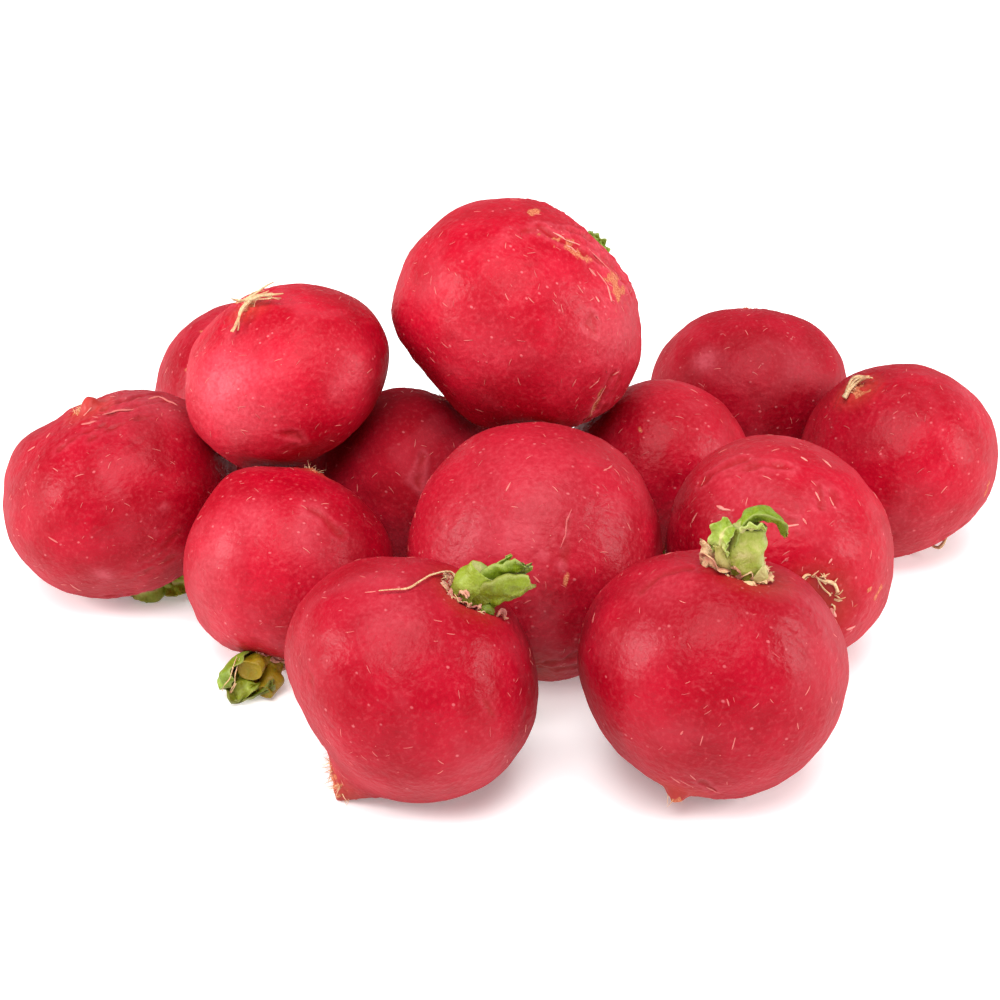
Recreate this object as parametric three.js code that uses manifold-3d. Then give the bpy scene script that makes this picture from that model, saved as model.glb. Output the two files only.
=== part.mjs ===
// A heap of thirteen trimmed round red radishes: eleven lie on the surface and two on top of them.
// Units are millimetres, +Z is up. The front of the heap faces -Y and +X is to the right.
// Each radish is one root from crown to tail, with a stub of cut green leaf stalks on the crown, and on
// some a papery collar of dried leaf bases or a few dry threads.
import * as THREE from "three";
import { mergeVertices } from "three/addons/utils/BufferGeometryUtils.js";
import Module from "manifold-3d";

const wasm = await Module();
wasm.setup();

// Root: the shape that every radish shares
const FLAT_SINK = 0.25; // a root on the surface is worn flat by this much
const CLEARANCE = 0.3; // gap kept between a piece and its neighbour
const CROWN_DIMPLE = { depth: 1.3, width: 0.24 }; // width in radians round the crown
const CROWN_SHOULDER = { height: 0.35, angle: 0.5, width: 0.22 };
const TAIL_SPREAD = 0.13; // radians over which the tail swells out of the root
const LUMP = 0.016; // share of the radius that the uneven growth adds or takes
const LUMP_WAVES = 5;
const ROOT_SEGMENTS = 22;
const RING_DEGREES = [8, 18, 30, 44, 59, 74, 89, 104, 119, 134, 148, 160, 169, 175];

const SKIN_RED = "#c8202f";
const STALK_GREEN = "#a3b84a";
const PAPER_TAN = "#c9a878";

// Directions are [azimuth, elevation] in degrees: azimuth 0 is +X and 90 is +Y, the back.
// at: centre, where a third value is the height of a root that lies on others.
// height: length from crown to tail as a share of the diameter.
// swells: [azimuth, elevation, spread in degrees, height in mm], a dent where the height is negative.
const ROOTS = {
  far_left: {
    at: [-62, 8.5], diameter: 38.5, height: 0.82, crown: [-30, -60], tail: [180, 80], nub: 2,
    swells: [[170, 20, 20, 1.6], [35, 50, 40, 1]],
  },
  back_left: {
    at: [-42.5, 42.5], diameter: 37.5, height: 0.88, crown: [120, -40], tail: [-60, 40], nub: 1,
    swells: [[-170, -20, 40, -0.6], [160, 35, 40, 0.6]],
  },
  upper_left: {
    at: [-34, 7.5, 38.6], diameter: 33.5, height: 0.76, crown: [23, -67], tail: [-157, 67], nub: 1,
    swells: [[-175, -15, 20, -1], [-140, -55, 15, 0.8]],
  },
  mid_left: {
    at: [-15.5, 14], diameter: 33, height: 0.93, crown: [-133, -50], tail: [47, 50], nub: 1,
    swells: [[90, 65, 20, 0.8], [5, 15, 35, 0.6], [0, 75, 20, 0.5]],
  },
  top: {
    at: [3.5, 14, 45.8], diameter: 41, height: 0.84, crown: [32, 38], tail: [168, -52], nub: 2.8,
    swells: [[180, 0, 25, 1.8], [-85, -65, 45, -1.2], [-70, -40, 18, 1], [10, -50, 18, 1.2]],
  },
  near_left: {
    at: [-32.5, -13.5], diameter: 32.5, height: 0.91, crown: [-108, -50], tail: [68, 55], nub: 1,
    swells: [[145, 50, 20, 1.5], [-165, -25, 20, 0.6]],
  },
  front_left: {
    at: [-12.5, -49], diameter: 36.5, height: 0.89, crown: [0, 60], tail: [-165, -50], nub: 4,
    swells: [[-165, -25, 35, -2.2], [155, 40, 30, 0.8]],
  },
  centre: {
    at: [5.5, -15.5], diameter: 38.5, height: 1.02, crown: [-100, -40], tail: [80, 40], nub: 0.8,
    swells: [[25, 40, 25, 0.7], [-175, -10, 30, 0.7]],
  },
  mid_right: {
    at: [26, 18.5], diameter: 33, height: 0.93, crown: [-90, -45], tail: [100, 15], nub: 1,
    swells: [[150, 45, 25, -1.2], [10, 20, 35, -0.6]],
  },
  back_right: {
    at: [45, 49.5], diameter: 35.5, height: 0.9, crown: [-90, -48], tail: [90, 50], nub: 1,
    swells: [[75, 65, 25, -0.6]],
  },
  far_right: {
    at: [67, 22.5], diameter: 34.5, height: 0.92, crown: [-20, -62], tail: [-166, 60], nub: 0.6,
    swells: [[-30, -45, 25, -1.8], [175, 10, 40, -0.8]],
  },
  near_right: {
    at: [43, -12.5], diameter: 35, height: 1.05, crown: [-80, 3], tail: [103, 0], nub: 1,
    swells: [[-160, -35, 50, -1], [140, 50, 40, 1.2]],
  },
  front_right: {
    at: [29.5, -47.5], diameter: 38, height: 0.93, crown: [-19, 73], tail: [-114, -45], nub: 1.8,
    swells: [[-165, -30, 30, -1], [75, 65, 40, -1.6]],
  },
};

// Leaf stubs. Every stalk is a loft along a path of points measured from the middle of the crown, in mm to
// the right, to the back and up. sizes are [width, depth] along the path, side is the direction of the
// width, and torn is how far the cut end is frayed.
const STUBS = {
  front_right: [
    { path: [[0, 0, -2], [0.4, 0, 3.5], [0.8, 0, 7]], sizes: [[4.8, 4.4], [5.6, 4.4], [4.8, 3.8]],
      side: [1, 0, 0], torn: 1.2 },
    { path: [[-1.6, -0.4, -1.5], [-2.6, -0.8, 3], [-3.4, -0.5, 6.6]],
      sizes: [[2.6, 2.4], [2.6, 2], [3.4, 1.4]], side: [1, 0.5, 0], torn: 1.6 },
    { path: [[-2.4, 0, 5.4], [0.2, 0.6, 8.8], [4.2, 0.4, 8.6], [6.6, -0.2, 5.4]],
      sizes: [[3.4, 1.2], [3.6, 1.1], [2.8, 1], [1.6, 0.8]], side: [0, 1, 0], torn: 1 },
  ],
  front_left: [
    { path: [[-0.6, 0, -1.5], [1, 0, 2.4], [2.4, 0, 4.2]], sizes: [[4.6, 4], [4.4, 3.6], [3.4, 2.4]],
      side: [0.8, 0, -0.5], torn: 1 },
    { path: [[0.6, 0.6, -1], [3, 0.8, 3], [6.8, 1, 4.8]], sizes: [[3, 2.6], [2.8, 2], [3.2, 1]],
      side: [0, 1, 0.4], torn: 1.8 },
    { path: [[1.4, -0.8, -1.6], [4, -1, 0.8], [8, -1.2, 2]], sizes: [[3, 3], [3, 2.4], [3.8, 1.2]],
      side: [0, 0.6, 1], torn: 1.8 },
  ],
  near_left: [
    { path: [[0.2, 1, 0.8], [-1.4, -3.2, 0.5], [-2.4, -6.4, 1]], sizes: [[3.6, 3], [3.6, 3.2], [3.8, 3.5]],
      side: [1, 0, 0], torn: 0.2 },
    { path: [[-0.6, 0.6, 0], [-5.6, -3.6, -0.8], [-6, -7.2, -2.2]], sizes: [[3, 2.2], [4.8, 2.2], [3.8, 1.4]],
      side: [0.4, 0, 1], torn: 1.2 },
    { path: [[0.6, 0.6, -0.4], [0.8, -3.6, -1.8], [-0.4, -7.4, -2.4]],
      sizes: [[3.2, 2.6], [3.6, 2.8], [3, 2.2]], side: [1, 0, 0], torn: 0.8 },
    { path: [[-1.4, -3, -1.4], [-2.8, -5.8, -2.4], [-3.4, -8.2, -3.3]], sizes: [[4, 2], [6, 2.2], [5.8, 1.6]],
      side: [1, 0, 0], torn: 1.2 },
  ],
  far_left: [
    { path: [[-0.4, 0.8, 1.2], [1.6, -1.2, -1.6], [5, -0.4, -2.1]], sizes: [[4, 2.4], [4.6, 2], [3.4, 1.4]],
      side: [0, 1, 0], torn: 1.4 },
    { path: [[-0.6, 0.8, 1.2], [-2, -2, -1.8], [-5, -2.4, -2.5]], sizes: [[3.6, 2.4], [3.8, 1.8], [2.8, 1.2]],
      side: [0, 1, 0], torn: 1.4 },
  ],
  top: [
    { path: [[-1, 0, -1.4], [0.8, 0.8, 1], [2.4, 1.4, 1.8]], sizes: [[3.4, 3], [3.4, 2.6], [3, 1.6]],
      side: [-0.6, 1, 0], torn: 1 },
    { path: [[-0.6, -1, -1.6], [1.4, -1, 0], [3.2, -1.6, 0.2]], sizes: [[2.8, 2.6], [2.8, 2], [2.2, 1.2]],
      side: [0, 1, 0], torn: 1 },
  ],
};

// Stubs on the crowns that face away from the front or down, cut short: length of the stalks in mm.
const SHORT_STUBS = {
  back_left: 5, upper_left: 3.6, mid_left: 3.8, centre: 4.4, mid_right: 4, back_right: 4.4,
};
const SHORT_STALKS = 3;
const SHORT_SIZES = [[3, 2.6], [3, 2.2], [2.6, 1.6]];
const STALK_SIDES = 7;
const STALK_STEPS = 4;
const CUT_HOLLOW = 0.35; // the cut end is sunk in the middle by this much

// Papery collars: radius of the ring, how far its scales stand out, how many there are, and a dry thread
// that grows out of one of them, as points measured from the middle of the crown.
const COLLARS = {
  front_right: { radius: 3.6, reach: 2, scales: 8 },
  front_left: { radius: 3.3, reach: 1.6, scales: 8, thread: [
    [-2.6, 1, 1.2], [-3.5, -0.3, 4.2], [-5, -2.4, 5.2],
    [-6.8, -4.4, 5.2], [-8.5, -5.6, 4.8], [-10.8, -5.9, 4.3],
  ] },
  near_left: { radius: 3.2, reach: 1.5, scales: 7 },
  near_right: { radius: 2.6, reach: 2.4, scales: 8 },
  top: { radius: 3, reach: 1.2, scales: 7 },
};
const BAND = { width: 0.9, low: -0.3, high: 1.2, sides: 11 };
const SCALE = { thickness: 0.7, tip: 0.7, rise: 1.3 };
const THREAD = [0.9, 0.7]; // thickness where a thread grows out and at its tip

// Dried root fibres on the cut tails, and a thread on a crown that has no green left, measured from there.
// side is the direction of the width.
const FIBRES = {
  upper_left_tail_fibres: { root: "upper_left", end: "tail", sizes: [[1.3, 0.9], [1.1, 0.8], [0.7, 0.7]],
    side: [-0.9, 0, -0.4], lines: [
    [[0.8, -0.4, 0.9], [-0.6, -2.6, 0.1], [-1.6, -5.4, -2]],
    [[0, -0.9, 1], [1.8, 0.6, 1.4], [3.5, 1.8, 1.6]],
    [[0, -1, 0.9], [2.6, -0.8, 1.5], [5.6, -0.8, 1.6]],
  ] },
  far_right_tail_fibres: { root: "far_right", end: "tail", sizes: [[0.8, 0.7], [1.4, 0.9], [0.8, 0.7]],
    side: [-0.3, 0.9, 0], lines: [
    [[-1.9, -1.8, -1], [0, 0, 1.2], [2.2, -0.4, 2]],
  ] },
  far_right_crown_thread: { root: "far_right", end: "crown", sizes: [[1.6, 1.3], [0.9, 0.9], [0.8, 0.8]],
    side: [-0.2, -0.8, 0.5], lines: [
    [[0, 0, 1], [0.6, -1.6, -1.2], [1.8, -2.8, -1.8], [3.2, -2.4, -0.6], [2.6, -2.2, 0.7]],
  ] },
};

const DEGREE = Math.PI / 180;

function direction([azimuth, elevation]) {
  const flat = Math.cos(elevation * DEGREE);
  return new THREE.Vector3(
    flat * Math.cos(azimuth * DEGREE), flat * Math.sin(azimuth * DEGREE), Math.sin(elevation * DEGREE),
  );
}

// The same draw, from 0 to 1, every time for a seed and a count.
function draw(seed, count) {
  const value = Math.sin(seed * 12.9898 + count * 78.233) * 43758.5453;
  return value - Math.floor(value);
}

const bell = (value, middle, width) => Math.exp(-(((value - middle) / width) ** 2));

// Turns a closed three.js geometry into a solid that can be joined and cut.
function solidOf(geometry) {
  const bare = geometry.index ? geometry.clone() : geometry;
  bare.deleteAttribute("normal");
  bare.deleteAttribute("uv");
  const merged = mergeVertices(bare, 1e-4);
  return new wasm.Manifold(new wasm.Mesh({
    numProp: 3,
    vertProperties: new Float32Array(merged.attributes.position.array),
    triVerts: new Uint32Array(merged.index.array),
  }));
}

function geometryOf(solid) {
  const mesh = solid.getMesh();
  const geometry = new THREE.BufferGeometry();
  geometry.setAttribute("position", new THREE.BufferAttribute(new Float32Array(mesh.vertProperties), 3));
  geometry.setIndex(new THREE.BufferAttribute(new Uint32Array(mesh.triVerts), 1));
  geometry.computeVertexNormals();
  return geometry;
}

// Closed skin over rings of points, with one point at each end.
function skin(first, rings, last) {
  const sides = rings[0].length;
  const points = [first, ...rings.flat(), last];
  const faces = [];
  for (let side = 0; side < sides; side += 1) {
    const next = (side + 1) % sides;
    faces.push(0, 1 + side, 1 + next);
    for (let ring = 0; ring + 1 < rings.length; ring += 1) {
      const near = 1 + ring * sides;
      const far = near + sides;
      faces.push(near + side, far + side, far + next, near + side, far + next, near + next);
    }
    const end = 1 + (rings.length - 1) * sides;
    faces.push(points.length - 1, end + next, end + side);
  }
  const geometry = new THREE.BufferGeometry();
  geometry.setAttribute("position", new THREE.Float32BufferAttribute(points.flatMap((p) => p.toArray()), 3));
  geometry.setIndex(faces);
  return solidOf(geometry);
}

// Root frame: z to the crown, and x to the side that the tail leans to.
class Root {
  constructor(name, seed) {
    const plan = ROOTS[name];
    this.name = name;
    this.seed = seed;
    this.plan = plan;
    this.halfWidth = plan.diameter / 2;
    this.halfHeight = this.halfWidth * plan.height;
    const crown = direction(plan.crown);
    const tail = direction(plan.tail);
    const lean = tail.clone().addScaledVector(crown, -tail.dot(crown));
    if (lean.length() < 1e-3) lean.crossVectors(crown, new THREE.Vector3(0, 0, 1));
    lean.normalize();
    this.bend = Math.acos(THREE.MathUtils.clamp(-crown.dot(tail), -1, 1));
    this.turn = new THREE.Matrix4().makeBasis(lean, new THREE.Vector3().crossVectors(crown, lean), crown);
    this.axis = crown.clone().sub(tail).normalize();
    this.swells = plan.swells.map(([azimuth, elevation, spread, height]) => (
      { to: direction([azimuth, elevation]), spread: spread * DEGREE, height }
    ));
    this.waves = this.drawWaves();
    const lowest = Math.min(...this.rings(0).flat().map((point) => point.z));
    const height = plan.at[2] ?? -lowest - FLAT_SINK;
    this.centre = new THREE.Vector3(plan.at[0], plan.at[1], height);
  }

  drawWaves() {
    const waves = [];
    for (let i = 0; i < LUMP_WAVES; i += 1) {
      const along = new THREE.Vector3(
        draw(this.seed, 3 * i) - 0.5, draw(this.seed, 3 * i + 1) - 0.5, draw(this.seed, 3 * i + 2) - 0.5,
      ).normalize();
      waves.push({ along, count: 3 + 0.8 * i, phase: 2 * Math.PI * draw(this.seed, i + 40) });
    }
    return waves;
  }

  // Point of the skin at an angle from the crown and an angle round it, from the root's centre.
  point(angle, round, grow) {
    const share = angle / Math.PI;
    const lean = -this.bend * share * share * (3 - 2 * share);
    const x = Math.sin(angle) * Math.cos(round);
    const z = Math.cos(angle);
    const own = new THREE.Vector3(
      Math.cos(lean) * x + Math.sin(lean) * z,
      Math.sin(angle) * Math.sin(round),
      Math.cos(lean) * z - Math.sin(lean) * x,
    );
    const out = own.clone().applyMatrix4(this.turn);
    const along = out.dot(this.axis) ** 2;
    let radius = 1 / Math.sqrt((1 - along) / this.halfWidth ** 2 + along / this.halfHeight ** 2);
    let lump = 0;
    for (const wave of this.waves) lump += Math.sin(wave.count * own.dot(wave.along) + wave.phase);
    radius *= 1 + (LUMP * lump) / LUMP_WAVES;
    radius -= CROWN_DIMPLE.depth * bell(angle, 0, CROWN_DIMPLE.width);
    radius += CROWN_SHOULDER.height * bell(angle, CROWN_SHOULDER.angle, CROWN_SHOULDER.width);
    radius += this.plan.nub * Math.exp((angle - Math.PI) / TAIL_SPREAD);
    for (const swell of this.swells) {
      const away = Math.acos(THREE.MathUtils.clamp(out.dot(swell.to), -1, 1));
      radius += swell.height * bell(away, 0, swell.spread);
    }
    return out.multiplyScalar(radius + grow);
  }

  rings(grow) {
    return RING_DEGREES.map((degrees) => {
      const ring = [];
      for (let side = 0; side < ROOT_SEGMENTS; side += 1) {
        ring.push(this.point(degrees * DEGREE, (2 * Math.PI * side) / ROOT_SEGMENTS, grow));
      }
      return ring;
    });
  }

  solid(grow = 0) {
    const whole = skin(this.point(0, 0, grow), this.rings(grow), this.point(Math.PI, 0, grow));
    return whole.translate(this.centre.toArray()).subtract(ground);
  }

  end(name) {
    return this.point(name === "crown" ? 0 : Math.PI, 0, 0).add(this.centre);
  }
}

// Loft along a path, with [width, depth] sizes along it. The width lies along side, and the far end is torn.
function stalk(plan, grow = 0) {
  const { path, sizes, side, torn = 0, sides = STALK_SIDES, steps = STALK_STEPS, seed = 1 } = plan;
  const curve = new THREE.CatmullRomCurve3(path);
  const last = sizes.length - 1;
  const sizeAt = (share, which) => {
    const place = Math.min(share * last, last - 1e-6);
    const before = Math.floor(place);
    return THREE.MathUtils.lerp(sizes[before][which], sizes[before + 1][which], place - before) / 2 + grow;
  };
  const rings = [];
  for (let step = 0; step <= steps; step += 1) {
    const share = step / steps;
    const middle = curve.getPoint(share);
    const along = curve.getTangent(share);
    const across = side.clone().addScaledVector(along, -side.dot(along)).normalize();
    const deep = new THREE.Vector3().crossVectors(across, along);
    middle.addScaledVector(along, (share < 0.5 ? -grow : grow) * (step % steps === 0 ? 1 : 0));
    const ring = [];
    for (let i = 0; i < sides; i += 1) {
      const round = (2 * Math.PI * i) / sides;
      const fray = step === steps ? torn * (draw(seed, i) - 0.5) : 0;
      ring.push(middle.clone()
        .addScaledVector(across, Math.cos(round) * sizeAt(share, 0))
        .addScaledVector(deep, Math.sin(round) * sizeAt(share, 1))
        .addScaledVector(along, fray));
    }
    rings.push(ring);
  }
  const tip = curve.getPoint(1).addScaledVector(curve.getTangent(1), grow - CUT_HOLLOW);
  return skin(curve.getPoint(0).addScaledVector(curve.getTangent(0), -grow), rings, tip);
}

const fuse = (solids) => solids.reduce((whole, solid) => whole.add(solid));

// Keeps the largest piece where a cut leaves scraps.
function largest(solid) {
  return solid.decompose().reduce((best, piece) => (piece.volume() > best.volume() ? piece : best));
}

// Cuts away what would run into the roots or the surface, and leaves the clearance.
function fitted(solid) {
  const box = solid.boundingBox();
  let rest = solid.subtract(raisedGround);
  for (const { reach, solid: grown } of grownRoots) {
    const meets = [0, 1, 2].every((i) => box.min[i] < reach.max[i] && box.max[i] > reach.min[i]);
    if (meets) rest = rest.subtract(grown);
  }
  return largest(rest);
}

// Frame of a crown: the middle of it, the way out, and two ways round it.
function crownFrame(root) {
  const out = direction(root.plan.crown);
  const right = new THREE.Vector3(1, 0, 0).addScaledVector(out, -out.x).normalize();
  return { middle: root.end("crown"), out, right, back: new THREE.Vector3().crossVectors(out, right) };
}

function offset(from, points) {
  return points.map((point) => new THREE.Vector3(...point).add(from));
}

function stubSolid(root, grow) {
  const { middle, out, right, back } = crownFrame(root);
  const stalks = STUBS[root.name]?.map((plan, i) => stalk({
    ...plan, path: offset(middle, plan.path), side: new THREE.Vector3(...plan.side), seed: root.seed * 7 + i,
  }, grow));
  if (stalks) return fuse(stalks);
  const short = [];
  for (let i = 0; i < SHORT_STALKS; i += 1) {
    const round = (2 * Math.PI * (i + draw(root.seed, i + 60))) / SHORT_STALKS;
    const away = right.clone().multiplyScalar(Math.cos(round)).addScaledVector(back, Math.sin(round));
    const length = SHORT_STUBS[root.name] * (0.75 + 0.25 * draw(root.seed, i + 70));
    const path = [[0.9, -1.5], [1.3, length / 2], [1.9, length]].map(([wide, high]) => (
      middle.clone().addScaledVector(away, wide).addScaledVector(out, high)
    ));
    short.push(stalk({
      path, sizes: SHORT_SIZES, side: new THREE.Vector3().crossVectors(out, away), torn: 1,
      seed: root.seed * 7 + i, steps: 3,
    }, grow));
  }
  return fuse(short);
}

function collarSolid(root) {
  const { radius, reach, scales, thread } = COLLARS[root.name];
  const { middle, out, right, back } = crownFrame(root);
  const rim = [[-1, BAND.low], [1, BAND.low], [1, BAND.high], [-1, BAND.high], [-1, BAND.low]];
  const band = new THREE.LatheGeometry(
    rim.map(([way, high]) => new THREE.Vector2(radius + (way * BAND.width) / 2, high)), BAND.sides,
  );
  band.applyMatrix4(new THREE.Matrix4().makeRotationX(Math.PI / 2));
  band.applyMatrix4(new THREE.Matrix4().makeBasis(right, back, out).setPosition(middle));
  const parts = [solidOf(band)];
  for (let i = 0; i < scales; i += 1) {
    const round = (2 * Math.PI * (i + 0.5 * draw(root.seed, i))) / scales;
    const away = right.clone().multiplyScalar(Math.cos(round)).addScaledVector(back, Math.sin(round));
    const far = reach * (0.6 + 0.6 * draw(root.seed, i + 20));
    const rise = SCALE.rise * (0.4 + draw(root.seed, i + 30));
    const path = [[0, 0.2], [far * 0.6, 1], [far, rise]].map(([wide, high]) => (
      middle.clone().addScaledVector(away, radius + wide).addScaledVector(out, high)
    ));
    const width = (2 * Math.PI * radius) / scales;
    parts.push(stalk({
      path, sizes: [[width, SCALE.thickness], [width * 0.8, SCALE.thickness], [SCALE.tip, SCALE.tip]],
      side: new THREE.Vector3().crossVectors(out, away), sides: 4, steps: 2,
    }));
  }
  if (thread) parts.push(stalk({
    path: offset(middle, thread), sizes: THREAD.map((size) => [size, size]), side: back, sides: 5, steps: 9,
  }));
  const ring = fuse(parts);
  return STUBS[root.name] ? ring.subtract(stubSolid(root, CLEARANCE)) : ring;
}

function fibreSolid({ root, end, sizes, side, lines }) {
  const from = roots[root].end(end);
  return fuse(lines.map((line) => stalk({
    path: offset(from, line), sizes, side: new THREE.Vector3(...side), sides: 5, steps: 2 * line.length - 2,
  })));
}

const GROUND_SIZE = 400;
const groundBox = (top) => solidOf(
  new THREE.BoxGeometry(GROUND_SIZE, GROUND_SIZE, GROUND_SIZE).translate(0, 0, top - GROUND_SIZE / 2),
);
const ground = groundBox(0);
const raisedGround = groundBox(CLEARANCE);

const roots = Object.fromEntries(Object.keys(ROOTS).map((name, i) => [name, new Root(name, i + 1)]));
const grownRoots = Object.values(roots).map((root) => {
  const solid = root.solid(CLEARANCE);
  return { solid, reach: solid.boundingBox() };
});

const heap = new THREE.Group();

function addPiece(name, solid, color, roughness) {
  const material = new THREE.MeshStandardMaterial({ color, roughness, metalness: 0 });
  const mesh = new THREE.Mesh(geometryOf(solid), material);
  mesh.name = name;
  heap.add(mesh);
}

for (const [name, root] of Object.entries(roots)) {
  addPiece(`${name}_root`, root.solid(), SKIN_RED, 0.35);
  if (STUBS[name] || SHORT_STUBS[name]) {
    addPiece(`${name}_stub`, fitted(stubSolid(root, 0)), STALK_GREEN, 0.5);
  }
  if (COLLARS[name]) addPiece(`${name}_collar`, fitted(collarSolid(root)), PAPER_TAN, 0.8);
}
for (const [name, plan] of Object.entries(FIBRES)) addPiece(name, fitted(fibreSolid(plan)), PAPER_TAN, 0.8);

// The origin is on the surface, under the middle of the heap.
const bounds = new THREE.Box3().setFromObject(heap);
heap.position.set(-(bounds.min.x + bounds.max.x) / 2, -(bounds.min.y + bounds.max.y) / 2, 0);

const bunch = new THREE.Group();
bunch.add(heap);

export default bunch;
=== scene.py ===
import math

import bpy
import numpy as np
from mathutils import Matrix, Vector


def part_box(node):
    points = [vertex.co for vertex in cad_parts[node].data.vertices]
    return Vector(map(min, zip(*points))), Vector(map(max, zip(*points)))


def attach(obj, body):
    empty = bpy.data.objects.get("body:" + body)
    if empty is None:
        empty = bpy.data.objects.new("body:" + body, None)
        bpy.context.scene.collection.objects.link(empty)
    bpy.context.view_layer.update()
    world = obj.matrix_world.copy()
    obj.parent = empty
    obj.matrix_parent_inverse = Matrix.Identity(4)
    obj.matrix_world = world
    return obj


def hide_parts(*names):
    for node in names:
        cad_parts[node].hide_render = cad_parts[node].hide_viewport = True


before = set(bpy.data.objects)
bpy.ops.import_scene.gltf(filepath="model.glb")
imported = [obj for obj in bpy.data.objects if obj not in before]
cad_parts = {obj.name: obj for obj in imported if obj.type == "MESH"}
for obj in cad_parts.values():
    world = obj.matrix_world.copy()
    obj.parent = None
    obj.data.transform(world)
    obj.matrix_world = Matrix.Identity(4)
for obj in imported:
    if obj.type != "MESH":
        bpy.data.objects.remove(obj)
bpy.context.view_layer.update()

# ---------------------------------------------------------------------------------------------------------
# The view: a heap of radishes on a plain white table top, seen from the front and a little from above.
# Soft light comes from broad panels at both sides, in front, behind and overhead, in a pale room.

# place in metres, and how far the camera is tipped up from straight down, in degrees
CAMERA_PLACE = (-0.00134, -0.29877, 0.1694)
CAMERA_TILT = 63.45
ROOM_LIGHT = 0.19
scene = bpy.context.scene
scene.view_settings.view_transform = "Standard"

lens = bpy.data.cameras.new("camera")
lens.lens = 75.6
lens.sensor_width = 36
camera = bpy.data.objects.new("camera", lens)
camera.location = CAMERA_PLACE
camera.rotation_euler = (math.radians(CAMERA_TILT), 0, 0)
scene.collection.objects.link(camera)
bpy.context.scene.camera = camera


def wire(node, values):
    """Gives each named or numbered input of a node its value, or joins it to another node's output."""
    for key, value in values.items():
        if isinstance(value, bpy.types.NodeSocket):
            node.id_data.links.new(value, node.inputs[key])
        else:
            node.inputs[key].default_value = value
    return node


def add(tree, kind, wires=None, **settings):
    """A new node with its settings and its inputs."""
    made = tree.nodes.new(kind)
    for key, value in settings.items():
        setattr(made, key, value)
    return wire(made, wires or {})


def new_material(name):
    """A new material, its node tree and its shader."""
    made = bpy.data.materials.new(name)
    made.use_nodes = True
    return made, made.node_tree, made.node_tree.nodes["Principled BSDF"]


room = bpy.data.worlds.new("pale_room")
room.use_nodes = True
wire(room.node_tree.nodes["Background"], {"Color": (1, 1, 1, 1), "Strength": ROOM_LIGHT})
scene.world = room

# name: place in metres, size across and up, watts
PANELS = {
    "left_panel": ((-0.72, -0.12, 0.32), (0.2, 0.36), 5.2),
    "right_panel": ((0.72, -0.14, 0.30), (0.2, 0.36), 4.4),
    "back_panel": ((0.05, 0.8, 0.6), (1.2, 0.4), 1.0),
    "overhead_panel": ((0.0, -0.3, 0.95), (0.8, 0.8), 11.7),
    "front_panel": ((-0.2, -0.7, 0.8), (0.5, 0.4), 3.6),
}
HEAP_MIDDLE = (0, 0, 0.03)
for name, (place, size, watts) in PANELS.items():
    light = bpy.data.lights.new(name, "AREA")
    light.shape = "RECTANGLE"
    light.size, light.size_y = size
    light.energy = watts
    panel = bpy.data.objects.new(name, light)
    panel.location = place
    x, y, z = np.array(HEAP_MIDDLE) - np.array(place)
    panel.rotation_euler = (math.atan2(math.hypot(x, y), -z), 0, math.atan2(y, x) - math.pi / 2)
    panel.visible_camera = False
    scene.collection.objects.link(panel)


def circle(count):
    """Evenly spaced angles all round, in radians."""
    return np.arange(count) * 2 * math.pi / count


# radius and height in metres: the sheet lies flat under the heap and turns up all round at its far edge
SHEET = [(2.5, 0), (2.8, 0.03), (2.95, 0.12), (3.0, 0.35)]
AROUND = 64
turns = circle(AROUND)
corners = [(0, 0, 0)] + [(r * math.cos(turn), r * math.sin(turn), z) for r, z in SHEET for turn in turns]
faces = [(0, 1 + k, 1 + (k + 1) % AROUND) for k in range(AROUND)]
for row in range(len(SHEET) - 1):
    for k in range(AROUND):
        inner, after = 1 + row * AROUND + k, 1 + row * AROUND + (k + 1) % AROUND
        faces.append((inner, inner + AROUND, after + AROUND, after))
table_mesh = bpy.data.meshes.new("table_top")
table_mesh.from_pydata(corners, [], faces)
table_top = bpy.data.objects.new("table_top", table_mesh)
scene.collection.objects.link(table_top)

# The sheet glows faintly near the heap and more far from it, so that it stays white to its edge. Each glow:
# how far from the middle, in metres, and how strong.
NEAR_GLOW, FAR_GLOW = (0.5, 0.25), (1.5, 0.88)
white, tree, shader = new_material("white_table")
spot = add(tree, "ShaderNodeTexCoord").outputs["Object"]
away = add(tree, "ShaderNodeVectorMath", {0: spot}, operation="LENGTH")
glow = add(tree, "ShaderNodeMapRange", {
    "From Min": NEAR_GLOW[0], "From Max": FAR_GLOW[0], "To Min": NEAR_GLOW[1], "To Max": FAR_GLOW[1],
    "Value": away.outputs["Value"]})
wire(shader, {
    "Base Color": (0.93, 0.93, 0.93, 1), "Roughness": 0.7, "Specular IOR Level": 0.2,
    "Emission Color": (1, 1, 1, 1), "Emission Strength": glow.outputs["Result"]})
white.cycles.emission_sampling = "NONE"
table_mesh.materials.append(white)

# ---------------------------------------------------------------------------------------------------------
# Roots: thirteen round red radishes, each a swollen root that runs from a dimpled crown, where the leaves
# grew, to a nub where the tail was cut. The skin is thin, taut and waxy, wrinkled round both ends, and it
# is scarred by stones: short pale scars, corky tan scuffs, creases and small pits.
MM = 0.001
RINGS, SIDES = 156, 156
# heights and depths in mm, angles and widths in radians from the crown or the tail
CROWN_DIMPLE = {"depth": 1.3, "width": 0.24}
CROWN_SHOULDER = {"height": 0.35, "angle": 0.5, "width": 0.22}
NUB_WIDTH = 0.13
# the uneven form of each root: height as a share of the radius, and how many waves
LUMP, LUMP_WAVES = 0.016, 5
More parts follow.
